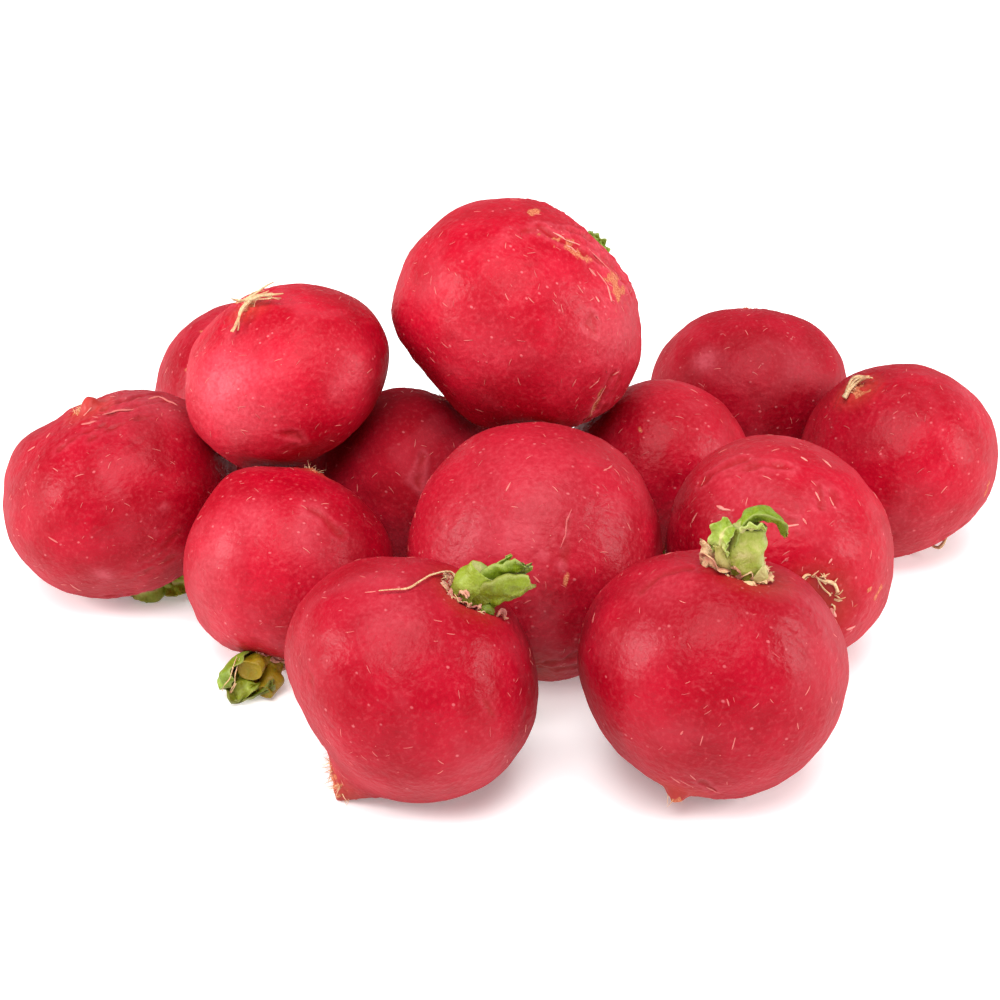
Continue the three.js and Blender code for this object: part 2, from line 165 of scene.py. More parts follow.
# heights in mm of the fine relief, and the turn in radians that its wrinkles take in a mm
BROAD_SOFT, FINE_SOFT, CROWN_FOLD, TAIL_FOLD, GRAIN = 0.09, 0.035, 0.08, 0.05, 0.045
FOLD_TURN = 4.2
PITS, PIT_WIDTH, PIT_DEPTH = 70, (0.35, 1.3), (0.03, 0.14)
CORK_ROUGH, CORK_SUNK, TORN_ROUGH = 0.05, 0.06, 0.12
# the low ridge at both sides of a crease, as a share of its depth
CREASE_RIDGE = 0.45

# Directions are (azimuth, elevation) in degrees from the middle of a root. across: width in mm. tall: height
# as a share of it. nub, nub_wide and blunt: height in mm, width in radians and bluntness of what is left of
# the tail. torn_at: where that tore off, if not at its middle. bright, matte, scarred and wrinkled: how
# bright, dull, scarred and wrinkled the skin is. The brightness is partly the root's own tone and partly
# painted light and shade, matched to how lit the root looks.
# swells: direction, spread in degrees and height in mm. scuffs and frayed: direction, length and width in
# degrees, and turn. creases: depth and width in mm and the directions they run through. pale: direction,
# spread in degrees and strength of a pale pink patch, partly a real pale streak and partly painted sheen
# where a soft highlight falls.
ROOTS = {
    "far_left": dict(
        bright=0.92, scarred=1.5, across=38.5, tall=0.82, crown=(-30, -60), tail=(180, 77), nub=1.7,
        nub_wide=0.095, blunt=3, torn_at=(180, 70),
        swells=[(170, 20, 20, 1.6), (35, 50, 40, 1)],
        creases=[(0.25, 0.5, [(-95, -44), (-70, -42), (-52, -36)]),
            (0.2, 0.5, [(-75, -50), (-50, -44), (-38, -36)]), (0.2, 0.45, [(-88, -52), (-60, -50)]),
            (0.28, 0.45, [(-110, 82), (15, 80), (37, 62)]), (0.28, 0.45, [(-106, 72), (-39, 76), (16, 60)]),
            (0.2, 0.4, [(-129, 47), (-118, 59), (-92, 67)]), (0.2, 0.4, [(-103, 56), (-72, 66), (-29, 64)]),
            (0.14, 0.4, [(-72, -8), (-60, -3), (-52, 3)]), (0.14, 0.4, [(-68, -17), (-54, -11)])],
        pale=[(3, 75, 25, 0.7), (-13, 60, 14, 0.6), (-63, 11, 10, 0.3), (-91, -16, 4.5, 1.2),
            (-58, 17, 2.5, 1.1), (-64, 6, 3, 0.8)],
    ),
    "back_left": dict(
        bright=0.9, across=37.5, tall=0.88, crown=(120, -40), tail=(-60, 40), nub=1,
        swells=[(-170, -20, 40, -0.6), (160, 35, 40, 0.6)],
        scuffs=[(-155, 60, 5, 2, 40), (-140, 36, 4, 2, 60)],
    ),
    "upper_left": dict(
        bright=1.13, scarred=1.5, across=33.5, tall=0.76, crown=(23, -67), tail=(-157, 67), nub=1,
        swells=[(-175, -15, 20, -1), (-140, -55, 15, 0.8), (-97, -64, 26, 0.45), (0, 10, 35, 0.5)],
        creases=[(0.3, 0.5, [(-84, -10), (-79, -12), (-75, -15)]), (0.25, 0.45, [(-86, -21), (-80, -18)])],
        pale=[(-80, -15, 4, 0.9), (-42, 17, 18, 0.5), (-120, 10, 30, 1.0)],
    ),
    "mid_left": dict(
        bright=0.92, matte=0.4, across=33, tall=0.93, crown=(-133, -50), tail=(47, 50), nub=1,
        swells=[(90, 65, 20, 0.8), (5, 15, 35, 0.6), (0, 75, 20, 0.5), (24, 42, 13, 0.8)],
        scuffs=[(20, 68, 4, 2, 0)],
        creases=[(0.35, 0.4, [(-74, 42), (-79, 35), (-81, 28), (-78, 23)])],
        pale=[(-77, 32, 2, 0.5), (-92, -6, 12, 0.3)],
    ),
    "top": dict(
        bright=1.1, scarred=1.6, wrinkled=1.6, across=41, tall=0.84, crown=(32, 38), tail=(168, -52),
        nub=2.8,
        swells=[(180, 0, 25, 1.8), (-85, -65, 45, -1.2), (-70, -40, 18, 1), (10, -50, 18, 1.2),
            (-145, -50, 19, 1.5), (-118, -60, 15, 1), (24, 39, 26, -1.1), (156, 39, 24, -0.6)],
        scuffs=[(-45, 82, 5, 2.8, 30), (-47, 51, 9, 4.6, -55), (-27, 26, 9.5, 6.6, -72),
            (-62, 60, 6, 1.6, -25)],
        creases=[(0.4, 0.6, [(-70, 68), (-55, 58), (-38, 47), (-24, 36), (-14, 24)]), (0.45, 0.5,
            [(-34, 62), (-18, 50), (-6, 36), (-4, 22)]), (0.4, 0.5, [(-50, 67), (-26, 58), (-8, 44)]),
            (0.4, 0.5, [(-22, 42), (-14, 30), (-12, 16)]), (0.35, 0.5, [(-60, 14), (-55, 17), (-57, 11)]),
            (0.4, 0.5, [(-44, -13), (-48, -22), (-50, -34), (-47, -50)]),
            (0.25, 0.4, [(-36, -16), (-42, -28), (-40, -40)]),
            (0.2, 0.5, [(-100, 62), (-80, 66), (-62, 62)])],
        pale=[(-40, 10, 26, 0.6), (-110, 5, 24, 0.3), (-70, -8, 14, 0.3), (0, 48, 24, 0.5)],
        frayed=[(-50, -32, 16, 1.8, 88)],
    ),
    "near_left": dict(
        bright=1.0, scarred=0.8, across=32.5, tall=0.91, crown=(-108, -50), tail=(68, 55), nub=1,
        swells=[(145, 50, 20, 1.5), (-165, -25, 20, 0.6), (103, 64, 28, 0.45)],
        creases=[(0.2, 0.5, [(-60, 60), (-50, 52), (-44, 40)])],
        pale=[(-118, 54, 14, 0.7), (-100, -20, 12, 0.2), (-140, 15, 28, 0.5), (-60, 35, 20, 0.3)],
    ),
    "front_left": dict(
        bright=0.87, scarred=0.8, across=36.5, tall=0.89, crown=(0, 60), tail=(-152, -54), nub=4.9,
        nub_wide=0.22, blunt=1.3, torn_at=(-157, -46),
        swells=[(-165, -25, 35, -1.9), (155, 40, 30, 0.8)],
        scuffs=[(-172, -46, 4, 2, 80)],
        creases=[(0.12, 0.4, [(-53, 16), (-51, 9)]), (0.12, 0.4, [(-140, 22), (-137, 17)])],
        pale=[(-111, 64, 18, 0.5), (-50, -20, 20, 0.3)],
    ),
    "centre": dict(
        bright=0.93, scarred=1.5, across=38.5, tall=1.02, crown=(-100, -40), tail=(80, 40), nub=0.8,
        swells=[(25, 40, 25, 0.7), (-175, -10, 30, 0.7), (139, 58, 18, 0.6)],
        scuffs=[(-78, 15, 3, 1, 70)],
        creases=[(0.12, 0.35, [(-71, 46), (-73, 38), (-76, 28), (-79, 18)]),
            (0.25, 0.5, [(-84, -28), (-70, -24), (-56, -24)]), (0.22, 0.5, [(-88, -34), (-70, -34)])],
        pale=[(-71, 43, 2.5, 0.9), (-75, 36, 2.5, 1.1), (-78, 29, 2.5, 0.9), (-79, 22, 3, 1.3),
            (-79, -38, 20, 0.3), (-120, 35, 30, 0.5), (-95, 60, 44, 0.5), (-87, 27, 3, 1.0)],
    ),
    "mid_right": dict(
        bright=1.0, across=33, tall=0.93, crown=(-90, -45), tail=(100, 15), nub=1,
        swells=[(150, 45, 25, -1.2), (10, 20, 35, -0.6), (180, 0, 25, 1)],
        scuffs=[(-112, 50, 2, 1, 0)],
        pale=[(-70, 62, 25, 0.15), (-40, 30, 15, 0.3)],
    ),
    "back_right": dict(
        bright=0.83, matte=0.12, across=35.5, tall=0.9, crown=(-90, -48), tail=(90, 50), nub=1,
        swells=[(75, 65, 25, -0.6), (10, 25, 35, 0.5)],
        pale=[(-132, 39, 7, 1.5), (-56, 44, 14, 0.4)],
    ),
    "far_right": dict(
        across=34.5, tall=0.92, crown=(-20, -62), tail=(-166, 60), nub=0.6,
        swells=[(-30, -45, 25, -1.3), (175, 10, 40, -0.8), (0, 0, 40, 0.4)],
        scuffs=[(-36, -3, 5, 1.5, 70), (-154, 61, 5, 3, 30)],
        creases=[(0.2, 0.5, [(-62, -30), (-45, -22), (-30, -16)])],
        pale=[(-82, -13, 16, 0.3), (-26, 50, 16, 0.4)],
    ),
    "near_right": dict(
        scarred=1.3, wrinkled=0.3, across=35, tall=1.05, crown=(-80, 3), tail=(103, 0), nub=1,
        swells=[(-160, -35, 50, -1), (140, 50, 40, 1.2)],
        scuffs=[(-42, -2, 5, 2, 60), (-50, 5, 1.5, 1, 0), (-58, -1, 2, 1, 30)],
        creases=[(0.2, 0.45, [(-112, 44), (-100, 46), (-90, 44)]),
            (0.35, 0.5, [(-173, 45), (-172, 57), (-165, 69)]),
            (0.35, 0.5, [(-156, 59), (-137, 72), (-87, 74)]), (0.3, 0.4, [(-60, 60), (-64, 55), (-68, 49)]),
            (0.3, 0.4, [(-51, 57), (-57, 50)])],
        pale=[(-146, 60, 22, 0.5), (-56, 54, 14, 0.3)],
    ),
    "front_right": dict(
        bright=0.85, scarred=0.7, across=38, tall=0.93, crown=(-19, 73), tail=(-114, -44), nub=1.5,
        nub_wide=0.08, blunt=3,
        swells=[(-165, -30, 30, -0.4), (75, 65, 40, -1.6), (0, -30, 30, -0.3)],
        creases=[(0.2, 0.45, [(-99, -25), (-92, -32)]), (0.2, 0.5, [(-160, 52), (-163, 63), (-145, 74)])],
        pale=[(-135, 35, 12, 0.5), (-150, 60, 16, 0.5), (-20, 40, 22, 0.4)],
    ),
}


def unit(azimuth, elevation):
    """A direction given in degrees, as a way one unit long."""
    azimuth, elevation = math.radians(azimuth), math.radians(elevation)
    flat = math.cos(elevation)
    return np.array([flat * math.cos(azimuth), flat * math.sin(azimuth), math.sin(elevation)])


def one_long(ways):
    """The same way or ways, one unit long."""
    return ways / (np.linalg.norm(ways) if ways.ndim == 1 else np.linalg.norm(ways, axis=1)[:, None])


def draw(seed, count):
    """A repeatable number from 0 to 1."""
    value = math.sin(seed * 12.9898 + count * 78.233) * 43758.5453
    return value - math.floor(value)


def bell(value, middle, width):
    """1 at the middle, fading to 0 on both sides."""
    return np.exp(-(((value - middle) / width) ** 2))


def ease(value, low, high):
    """0 at low, 1 at high and smooth between, or the other way round."""
    share = np.clip((value - low) / (high - low), 0, 1)
    return share * share * (3 - 2 * share)


def away_from(out, to):
    """How far each direction lies from another, in radians."""
    return np.arccos(np.clip(out @ to, -1, 1))


def spot_on(out, azimuth, elevation, spread):
    """1 in one direction, fading to 0 round it."""
    return bell(away_from(out, unit(azimuth, elevation)), 0, math.radians(spread))


def ripple(points, length, seed, waves=14):
    """Even, seeded unevenness with a wave length in mm, mostly from -1 to 1."""
    dice = np.random.default_rng(seed)
    total = np.zeros(points.shape[:-1])
    for _ in range(waves):
        along = dice.normal(size=3)
        along *= 2 * math.pi / length / np.linalg.norm(along) * dice.uniform(0.7, 1.4)
        total += np.sin(points @ along + dice.uniform(0, 2 * math.pi))
    return total * math.sqrt(2 / waves)


def mesh_piece(name, points, faces, material, attributes=None):
    """A smooth mesh object from points in mm, with one value or vector for each point in each attribute."""
    mesh = bpy.data.meshes.new(name)
    points = np.asarray(points) * MM
    points[:, 2] = np.maximum(points[:, 2], 0)
    mesh.from_pydata(points.tolist(), [], faces)
    mesh.shade_smooth()
    for key, values in (attributes or {}).items():
        values = np.asarray(values, dtype=np.float32)
        kind, slot_name = ("FLOAT_VECTOR", "vector") if values.ndim == 2 else ("FLOAT", "value")
        mesh.attributes.new(key, kind, "POINT").data.foreach_set(slot_name, values.ravel())
    mesh.materials.append(material)
    made = bpy.data.objects.new(name, mesh)
    scene.collection.objects.link(made)
    return made


def tube_faces(rings, sides, first, last):
    """Quads between closed rings of points, and a fan over the single points at the two ends."""
    faces = []
    for side in range(sides):
        after = (side + 1) % sides
        faces.append((first, 1 + side, 1 + after))
        end = 1 + (rings - 1) * sides
        faces.append((last, end + after, end + side))
        for ring in range(rings - 1):
            near, far = 1 + ring * sides, 1 + (ring + 1) * sides
            faces.append((near + side, far + side, far + after, near + after))
    return faces


def grow_root(name, seed):
    """The skin of one root as points round its middle in mm, and what the skin material needs to know."""
    plan = ROOTS[name]
    crown, tail = unit(*plan["crown"]), unit(*plan["tail"])
    lean = tail - crown * (tail @ crown)
    if np.linalg.norm(lean) < 1e-3:
        lean = np.cross(crown, [0, 0, 1])
    lean = one_long(lean)
    turn = np.stack([lean, np.cross(crown, lean), crown])
    bend = math.acos(min(1, -(crown @ tail)))
    axis = one_long(crown - tail)
    half_wide = plan["across"] / 2
    half_tall = half_wide * plan["tall"]

    share = np.linspace(0, 1, RINGS + 2)
    angles = math.pi * share - 0.25 * np.sin(2 * math.pi * share)
    rounds = circle(SIDES)
    angle = np.concatenate([[0], np.repeat(angles[1:-1], SIDES), [math.pi]])
    around = np.concatenate([[0], np.tile(rounds, RINGS), [0]])
    tilt = -bend * (angle / math.pi) ** 2 * (3 - 2 * angle / math.pi)
    x, z = np.sin(angle) * np.cos(around), np.cos(angle)
    y = np.sin(angle) * np.sin(around)
    own = np.stack([np.cos(tilt) * x + np.sin(tilt) * z, y, np.cos(tilt) * z - np.sin(tilt) * x], 1)
    out = own @ turn
    along = (out @ axis) ** 2
    radius = 1 / np.sqrt((1 - along) / half_wide**2 + along / half_tall**2)
    lump = 0
    for wave in range(LUMP_WAVES):
        to = one_long(np.array([draw(seed, 3 * wave + i) - 0.5 for i in range(3)]))
        lump = lump + np.sin((3 + 0.8 * wave) * (own @ to) + 2 * math.pi * draw(seed, wave + 40))
    radius *= 1 + LUMP * lump / LUMP_WAVES
    radius -= CROWN_DIMPLE["depth"] * bell(angle, 0, CROWN_DIMPLE["width"])
    radius += CROWN_SHOULDER["height"] * bell(angle, CROWN_SHOULDER["angle"], CROWN_SHOULDER["width"])
    from_tail = (math.pi - angle) / plan.get("nub_wide", NUB_WIDTH)
    radius += plan["nub"] * np.exp(-from_tail ** plan.get("blunt", 1))
    for *where, height in plan["swells"]:
        radius += height * spot_on(out, *where)
    even = out * radius[:, None]

    # fine relief in mm: soft unevenness, wrinkles round the crown and the tail, and pits
    place = own * half_wide
    first = seed * 5
    near_crown = ease(angle, 1.05, 0.35)
    near_tail = ease(angle, 2.45, 2.95)
    soft = BROAD_SOFT * ripple(place, 11, first) + FINE_SOFT * ripple(place, 4.5, first + 1)
    folded = 0.5 + 0.5 * np.tanh(1.5 * ripple(place, 5, first + 3))
    folds = np.sin(angle * half_wide * FOLD_TURN + 2.2 * ripple(place, 7, first + 2)) * folded
    wrinkled = plan.get("wrinkled", 0.45)
    relief = soft + CROWN_FOLD * folds * wrinkled * near_crown * ease(angle, 0.12, 0.3)
    relief = relief + TAIL_FOLD * folds * near_tail
    relief += GRAIN * ripple(place, 1.6, first + 4) * (0.12 + wrinkled * near_crown + 0.7 * near_tail)
    dice = np.random.default_rng(seed)
    for _ in range(PITS):
        to = one_long(dice.normal(size=3))
        wide = dice.uniform(*PIT_WIDTH)
        relief -= dice.uniform(*PIT_DEPTH) * wide * bell(away_from(out, to) * half_wide, 0, wide)

    # corky scuffs and the torn end of the tail: rough, a little sunk, with uneven edges
    scuff = np.zeros(len(out))
    for azimuth, elevation, long, wide, turned in plan.get("scuffs", []) + plan.get("frayed", []):
        to = unit(azimuth, elevation)
        level = one_long(np.cross([0, 0, 1], to))
        rise = np.cross(to, level)
        cos, sin = math.cos(math.radians(turned)), math.sin(math.radians(turned))
        u = np.degrees(out @ level * cos + out @ rise * sin) / long
        v = np.degrees(out @ rise * cos - out @ level * sin) / wide
        uneven = 0.35 * ripple(place, 2.2, first + 6)
        patch = ease(np.sqrt(u * u + v * v) + uneven, 1.25, 0.45) * (out @ to > 0)
        scuff = np.maximum(scuff, patch)
    torn_place = unit(*plan.get("torn_at", plan["tail"]))
    from_torn = away_from(out, torn_place) / plan.get("nub_wide", NUB_WIDTH)
    torn = ease(from_torn + 0.25 * ripple(place, 1.2, first + 9), 0.75, 0.35)
    scuff = np.maximum(scuff, torn)
    rough = TORN_ROUGH * torn * ripple(place, 0.9, first + 10)
    relief += CORK_ROUGH * scuff * ripple(place, 1.1, first + 7) - CORK_SUNK * scuff + rough

    # creases, each with a low ridge at both sides; the crease mask darkens the red, partly as painted shade
    # in the groove, and the ridge mask pales it as a painted highlight
    crease, ridge = np.zeros(len(out)), np.zeros(len(out))
    for depth, wide, corners in plan.get("creases", []):
        stops = np.array([unit(*corner) for corner in corners])
        near = np.full(len(out), 9.0)
        for start, stop in zip(stops, stops[1:]):
            run = stop - start
            share = np.clip((out - start) @ run / (run @ run), 0, 1)
            gap = np.linalg.norm(out - start - share[:, None] * run, axis=1) * half_wide
            near = np.minimum(near, gap + 0.25 * ripple(place, 3.5, first + 8))
        relief += -depth * bell(near, 0, wide) + CREASE_RIDGE * depth * bell(near, 2 * wide, wide)
        crease = np.maximum(crease, bell(near, 0, wide))
        ridge = np.maximum(ridge, 2 * depth * bell(near, 2.2 * wide, wide))

    # pale pink: the crease ridges as a painted highlight, and the listed patches, partly real pale streaks
    # and partly painted sheen
    pale = ridge
    for *where, strength in plan.get("pale", []):
        pale = np.maximum(pale, strength * spot_on(out, *where))
    marks = {
        "skin_place": place + seed * 40.0,
        "across": np.cross(np.tile(crown, (len(out), 1)), out),
        "scuff": scuff, "crease": crease, "pale": pale,
        "bright": np.full(len(out), plan.get("bright", 1.0)),
        "matte": np.full(len(out), plan.get("matte", 0.0)),
        "crown_end": ease(angle, 0.5, 0.12), "tail_end": ease(angle, 2.75, 3.1), "torn": torn,
    }
    return even, even + out * relief[:, None], marks, crown, tail


def reckon(operation, first, second):
    return add(first.id_data, "ShaderNodeMath", {0: first, 1: second}, operation=operation).outputs[0]


def plus(first, second):
    return reckon("ADD", first, second)


def times(first, second):
    return reckon("MULTIPLY", first, second)


def step(value, low, high):
    """0 below low, 1 above high and smooth between, or the other way round."""
    return add(value.id_data, "ShaderNodeMapRange", {"Value": value, "From Min": low, "From Max": high},
               interpolation_type="SMOOTHSTEP").outputs["Result"]


def tint(factor, under, over):
    """One colour laid over another as strongly as the factor says."""
    return add(factor.id_data, "ShaderNodeMix", {0: factor, 6: under, 7: over}, data_type="RGBA").outputs[2]


def cloud(place, scale, detail=2.0, warp=0.0):
    """Cloudy unevenness from 0 to 1."""
    return add(place.id_data, "ShaderNodeTexNoise", {
        "Vector": place, "Scale": scale, "Detail": detail, "Distortion": warp}).outputs["Fac"]


def known(tree, key, output="Fac"):
    """What a piece's mesh stores for each of its points."""
    return add(tree, "ShaderNodeAttribute", attribute_name=key).outputs[output]


def bump(height, deep):
    """Fine relief that only the light shows, deep metres for a height of one."""
    return add(height.id_data, "ShaderNodeBump", {"Height": height, "Distance": deep}).outputs["Normal"]


DEEP_RED, FRESH_RED = (0.3, 0.0, 0.008, 1), (0.375, 0.0015, 0.014, 1)
LIGHT_MOTTLE, DARK_MOTTLE = (0.52, 0.06, 0.075, 1), (0.23, 0.0, 0.006, 1)
# the first is the pale pink of painted sheen and of real pale streaks
SHEEN_AND_STREAK_PINK, PORE_PINK = (0.52, 0.07, 0.095, 1), (0.62, 0.15, 0.16, 1)
DARK_CORK, LIGHT_CORK = (0.36, 0.08, 0.035, 1), (0.56, 0.2, 0.095, 1)
# the crease colour is partly the brown of healed cracks and partly painted shade in the groove
CREASE_BROWN_AND_SHADE, CROWN_BROWN, TAIL_TAN = (0.24, 0.012, 0.01, 1), (0.3, 0.03, 0.015, 1), (0.5, 0.08, 0.04, 1)


def red_skin():
    made, tree, shader = new_material("radish_skin")
    place = known(tree, "skin_place", "Vector")
    laid = add(tree, "ShaderNodeVectorMath", {0: place, 1: (1, 1, 1.3)}, operation="MULTIPLY").outputs[0]
    scuff, crease, pale, crown_end, tail_end = (
        known(tree, key) for key in ("scuff", "crease", "pale", "crown_end", "tail_end"))

    # The red itself: faintly cloudy and mottled at half a millimetre, with a painted sheen over it: a pale
    # pink haze in broad soft patches and on the pale patches and crease ridges, which stands in for soft
    # highlights, while some small pale spots are real pale streaks. The first number of a cloud is its waves
    # to the mm. A step's two say where it starts and where it is full.
    broad = cloud(place, 0.12, 3)
    mottle = cloud(place, 1.5, 3)
    red = tint(step(broad, 0.34, 0.66), DEEP_RED, FRESH_RED)
    red = tint(times(step(mottle, 0.5, 0.72), 0.2), red, LIGHT_MOTTLE)
    red = tint(times(step(mottle, 0.46, 0.3), 0.22), red, DARK_MOTTLE)
    # painted sheen: broad soft patches of pale pink haze, laid at random, that stand in for soft highlights
    sheen_patches = times(step(cloud(place, 0.09, 4, 0.6), 0.5, 0.72), 0.18)
    haze = plus(times(step(mottle, 0.2, 0.66), 0.3), 0.3)
    red = tint(plus(times(haze, pale), sheen_patches), red, SHEEN_AND_STREAK_PINK)

    # pores, laid round the root
    cells = add(tree, "ShaderNodeTexVoronoi", {"Vector": laid, "Scale": 0.5}, feature="F1").outputs
    chance = add(tree, "ShaderNodeSeparateXYZ", {0: cells["Color"]}).outputs[0]
    pore = times(step(cells["Distance"], 0.17, 0.06), step(chance, 0.35, 0.9))
    red = tint(times(pore, 0.6), red, PORE_PINK)

    # corky tan scuffs; creases darker and browner, partly the brown of healed cracks and partly painted
    # shade in their grooves; and the browned skin close to the crown and the tail
    crumb = cloud(place, 1.7, 4)
    cork = step(plus(scuff, reckon("SUBTRACT", crumb, 0.5)), 0.3, 0.75)
    tan = tint(step(cloud(place, 4, 2), 0.4, 0.6), DARK_CORK, LIGHT_CORK)
    for where, strength, brown in (
        (crease, 0.5, CREASE_BROWN_AND_SHADE), (crown_end, 0.6, CROWN_BROWN), (tail_end, 0.35, TAIL_TAN),
    ):
        red = tint(times(where, strength), red, brown)
    # each root's brightness: partly its own tone and partly painted light and shade, matched to how lit the
    # root looks
    red = add(tree, "ShaderNodeMix", {0: 1.0, 6: red, 7: known(tree, "bright")}, data_type="RGBA",
              blend_type="MULTIPLY").outputs[2]
    red = tint(times(cork, 0.85), red, tan)

    # waxy and fairly smooth, duller on cork and where the skin is seen aslant
    aslant = add(tree, "ShaderNodeLayerWeight", {"Blend": 0.5}).outputs["Facing"]
    gloss = plus(times(mottle, 0.2), 0.27)
    gloss = plus(gloss, times(cork, 0.3))
    gloss = plus(gloss, times(reckon("POWER", aslant, 3.0), 0.4))
    gloss = plus(gloss, known(tree, "matte"))
    height = plus(times(cloud(laid, 0.7, 3), 1.15), times(mottle, 0.35))
    height = plus(height, times(pore, 0.3))
    height = plus(height, times(crumb, times(cork, 0.6)))
    wire(shader, {"Base Color": red, "Roughness": gloss, "Normal": bump(height, 0.00016), "IOR": 1.2,
                  "Specular IOR Level": 0.58})
    return made


def shaded_skin(name, under, over, rough):
    """A plain skin whose colour goes from one to another with the shade stored on each scar or strand."""
    made, tree, shader = new_material(name)
    wire(shader, {"Base Color": tint(known(tree, "shade"), under, over), "Roughness": rough})
    return made


# Shares of a scar's length, a pore's width and a rootlet's length. A scar hooks aside HOOK times as far as
# it drops to follow the skin, and a rootlet starts ROOTED of its length under the skin.
SCAR_WIDE, SCAR_TALL, HOOK, PORE_TALL, CURL, ROOTED = 0.11, 0.1, 4.0, 0.4, 0.45, 0.08


def growth_tree():
    """Healed scars, pores and, on the torn end of a tail, fine dry rootlets."""
    tree = bpy.data.node_groups.new("healed_scars", "GeometryNodeTree")
    tree.interface.new_socket("Geometry", in_out="OUTPUT", socket_type="NodeSocketGeometry")
    for kind, keys in (
        ("Geometry", ["Skin"]),
        ("Float", ["Scars per m2", "Pores per m2", "Rootlets per m2", "Scar length", "Pore width",
                   "Rootlet length", "Bend radius"]),
        ("Int", ["Seed"]),
        ("Material", ["Finish", "Rootlet finish"]),
    ):
        for key in keys:
            tree.interface.new_socket(key, in_out="INPUT", socket_type=f"NodeSocket{kind}")
    given = tree.nodes.new("NodeGroupInput").outputs

    def made(kind, wires, output=0, **settings):
        return add(tree, kind, wires, **settings).outputs[output]

    def chance(low, high, seed):
        return made("FunctionNodeRandomValue", {2: low, 3: high, "Seed": seed}, 1, data_type="FLOAT")

    def three(**parts):
        return made("ShaderNodeCombineXYZ", {key.upper(): part for key, part in parts.items()})

    def moved(shape, kind, **change):
        """A shape that is turned, stretched or bent."""
        change = {key.capitalize(): value for key, value in change.items()}
        return made(f"GeometryNode{kind}", {"Geometry": shape, **change})

    across, torn = (made("GeometryNodeInputNamedAttribute", {"Name": key}, data_type=kind)
                    for key, kind in (("across", "FLOAT_VECTOR"), ("torn", "FLOAT")))

    def scatter(density, seed_step, shape, turn, smallest, tilt=0.0):
        """Shapes laid across the skin, each turned, sized and shaded by chance."""
        seed = plus(given["Seed"], seed_step)
        spots = add(tree, "GeometryNodeDistributePointsOnFaces", {
            "Mesh": given["Skin"], "Density": density, "Seed": seed}).outputs
        upright = made("FunctionNodeAlignRotationToVector", {"Vector": spots["Normal"]}, axis="Z")
        laid = made("FunctionNodeAlignRotationToVector", {"Rotation": upright, "Vector": across}, axis="X",
                    pivot_axis="Z")
        spin = chance(-turn, turn, seed)
        lean = chance(-tilt, tilt, plus(seed, 7))
        spin = made("FunctionNodeEulerToRotation", {0: three(x=lean, z=spin)})
        spun = made("FunctionNodeRotateRotation", {"Rotation": laid, "Rotate By": spin},
                    rotation_space="LOCAL")
        # small ones are commoner than large ones
        size = reckon("POWER", chance(smallest, 1.0, plus(seed, 3)), 1.6)
        set_down = made("GeometryNodeInstanceOnPoints", {
            "Points": spots["Points"], "Instance": shape, "Rotation": spun, "Scale": size})
        shade = chance(0.05, 0.7, plus(seed, 5))
        return made("GeometryNodeStoreNamedAttribute", {
            "Geometry": set_down, "Name": "shade", "Value": shade}, data_type="FLOAT", domain="INSTANCE")

    # a scar is a thin sliver, bent with the skin and a little hooked
    long = given["Scar length"]
    ball = made("GeometryNodeMeshUVSphere", {"Segments": 5, "Rings": 5, "Radius": 0.5})
    sliver = moved(ball, "Transform", rotation=(0, math.pi / 2, 0))
    form = three(x=long, y=times(long, SCAR_WIDE), z=times(long, SCAR_TALL))
    sliver = moved(sliver, "Transform", scale=form)
    spot = made("GeometryNodeInputPosition", {})
    parts = add(tree, "ShaderNodeSeparateXYZ", {0: spot}).outputs
    drop = reckon("DIVIDE", times(parts["X"], parts["X"]), times(given["Bend radius"], -2.0))
    sliver = moved(sliver, "SetPosition", offset=three(y=times(drop, -HOOK), z=drop))

    # a pore is a low dome
    wide = given["Pore width"]
    dome = made("GeometryNodeMeshUVSphere", {"Segments": 5, "Rings": 3, "Radius": 0.5})
    dome = moved(dome, "Transform", scale=three(x=wide, y=wide, z=times(wide, PORE_TALL)))

    # a rootlet is a curved spike that starts just under the skin
    tall = given["Rootlet length"]
    spike = made("GeometryNodeMeshCone", {
        "Vertices": 5, "Side Segments": 5, "Radius Top": 0.02 * MM, "Radius Bottom": 0.09 * MM,
        "Depth": tall})
    rise = reckon("DIVIDE", parts["Z"], tall)
    curl = three(x=times(times(rise, rise), times(tall, CURL)), z=times(tall, -ROOTED))
    spike = moved(spike, "SetPosition", offset=curl)

    whole = tree.nodes.new("GeometryNodeJoinGeometry")
    torn_only = times(given["Rootlets per m2"], torn)
    for grown, finish in (
        (scatter(given["Scars per m2"], 11, sliver, turn=1.3, smallest=0.5), "Finish"),
        (scatter(given["Pores per m2"], 23, dome, turn=3.1, smallest=0.5), "Finish"),
        (scatter(torn_only, 37, spike, turn=3.1, smallest=0.4, tilt=1.0), "Rootlet finish"),
    ):
        real = made("GeometryNodeRealizeInstances", {"Geometry": grown})
        smooth = made("GeometryNodeSetShadeSmooth", {"Geometry": real})
        painted = made("GeometryNodeSetMaterial", {"Geometry": smooth, "Material": given[finish]})
        tree.links.new(painted, whole.inputs[0])
    tree.links.new(given["Skin"], whole.inputs[0])
    tree.links.new(whole.outputs[0], tree.nodes.new("NodeGroupOutput").inputs[0])
    return tree


def settle(made, tree, **values):
    """Runs a node tree on a piece once and keeps the plain mesh it makes."""
    modifier = made.modifiers.new(tree.name, "NODES")
    modifier.node_group = tree
    for item in tree.interface.items_tree:
        key = item.name.lower().replace(" ", "_")
        if item.in_out == "INPUT" and key in values:
            modifier[item.identifier] = values[key]
    ready = made.evaluated_get(bpy.context.evaluated_depsgraph_get())
    mesh = bpy.data.meshes.new_from_object(ready)
    made.modifiers.clear()
    made.data = mesh
    mesh.name = made.name
    return made


def fit(made, node):
    """Puts a piece on the part: the body it rides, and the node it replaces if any."""
    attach(made, "root")
    if node:
        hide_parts(node)


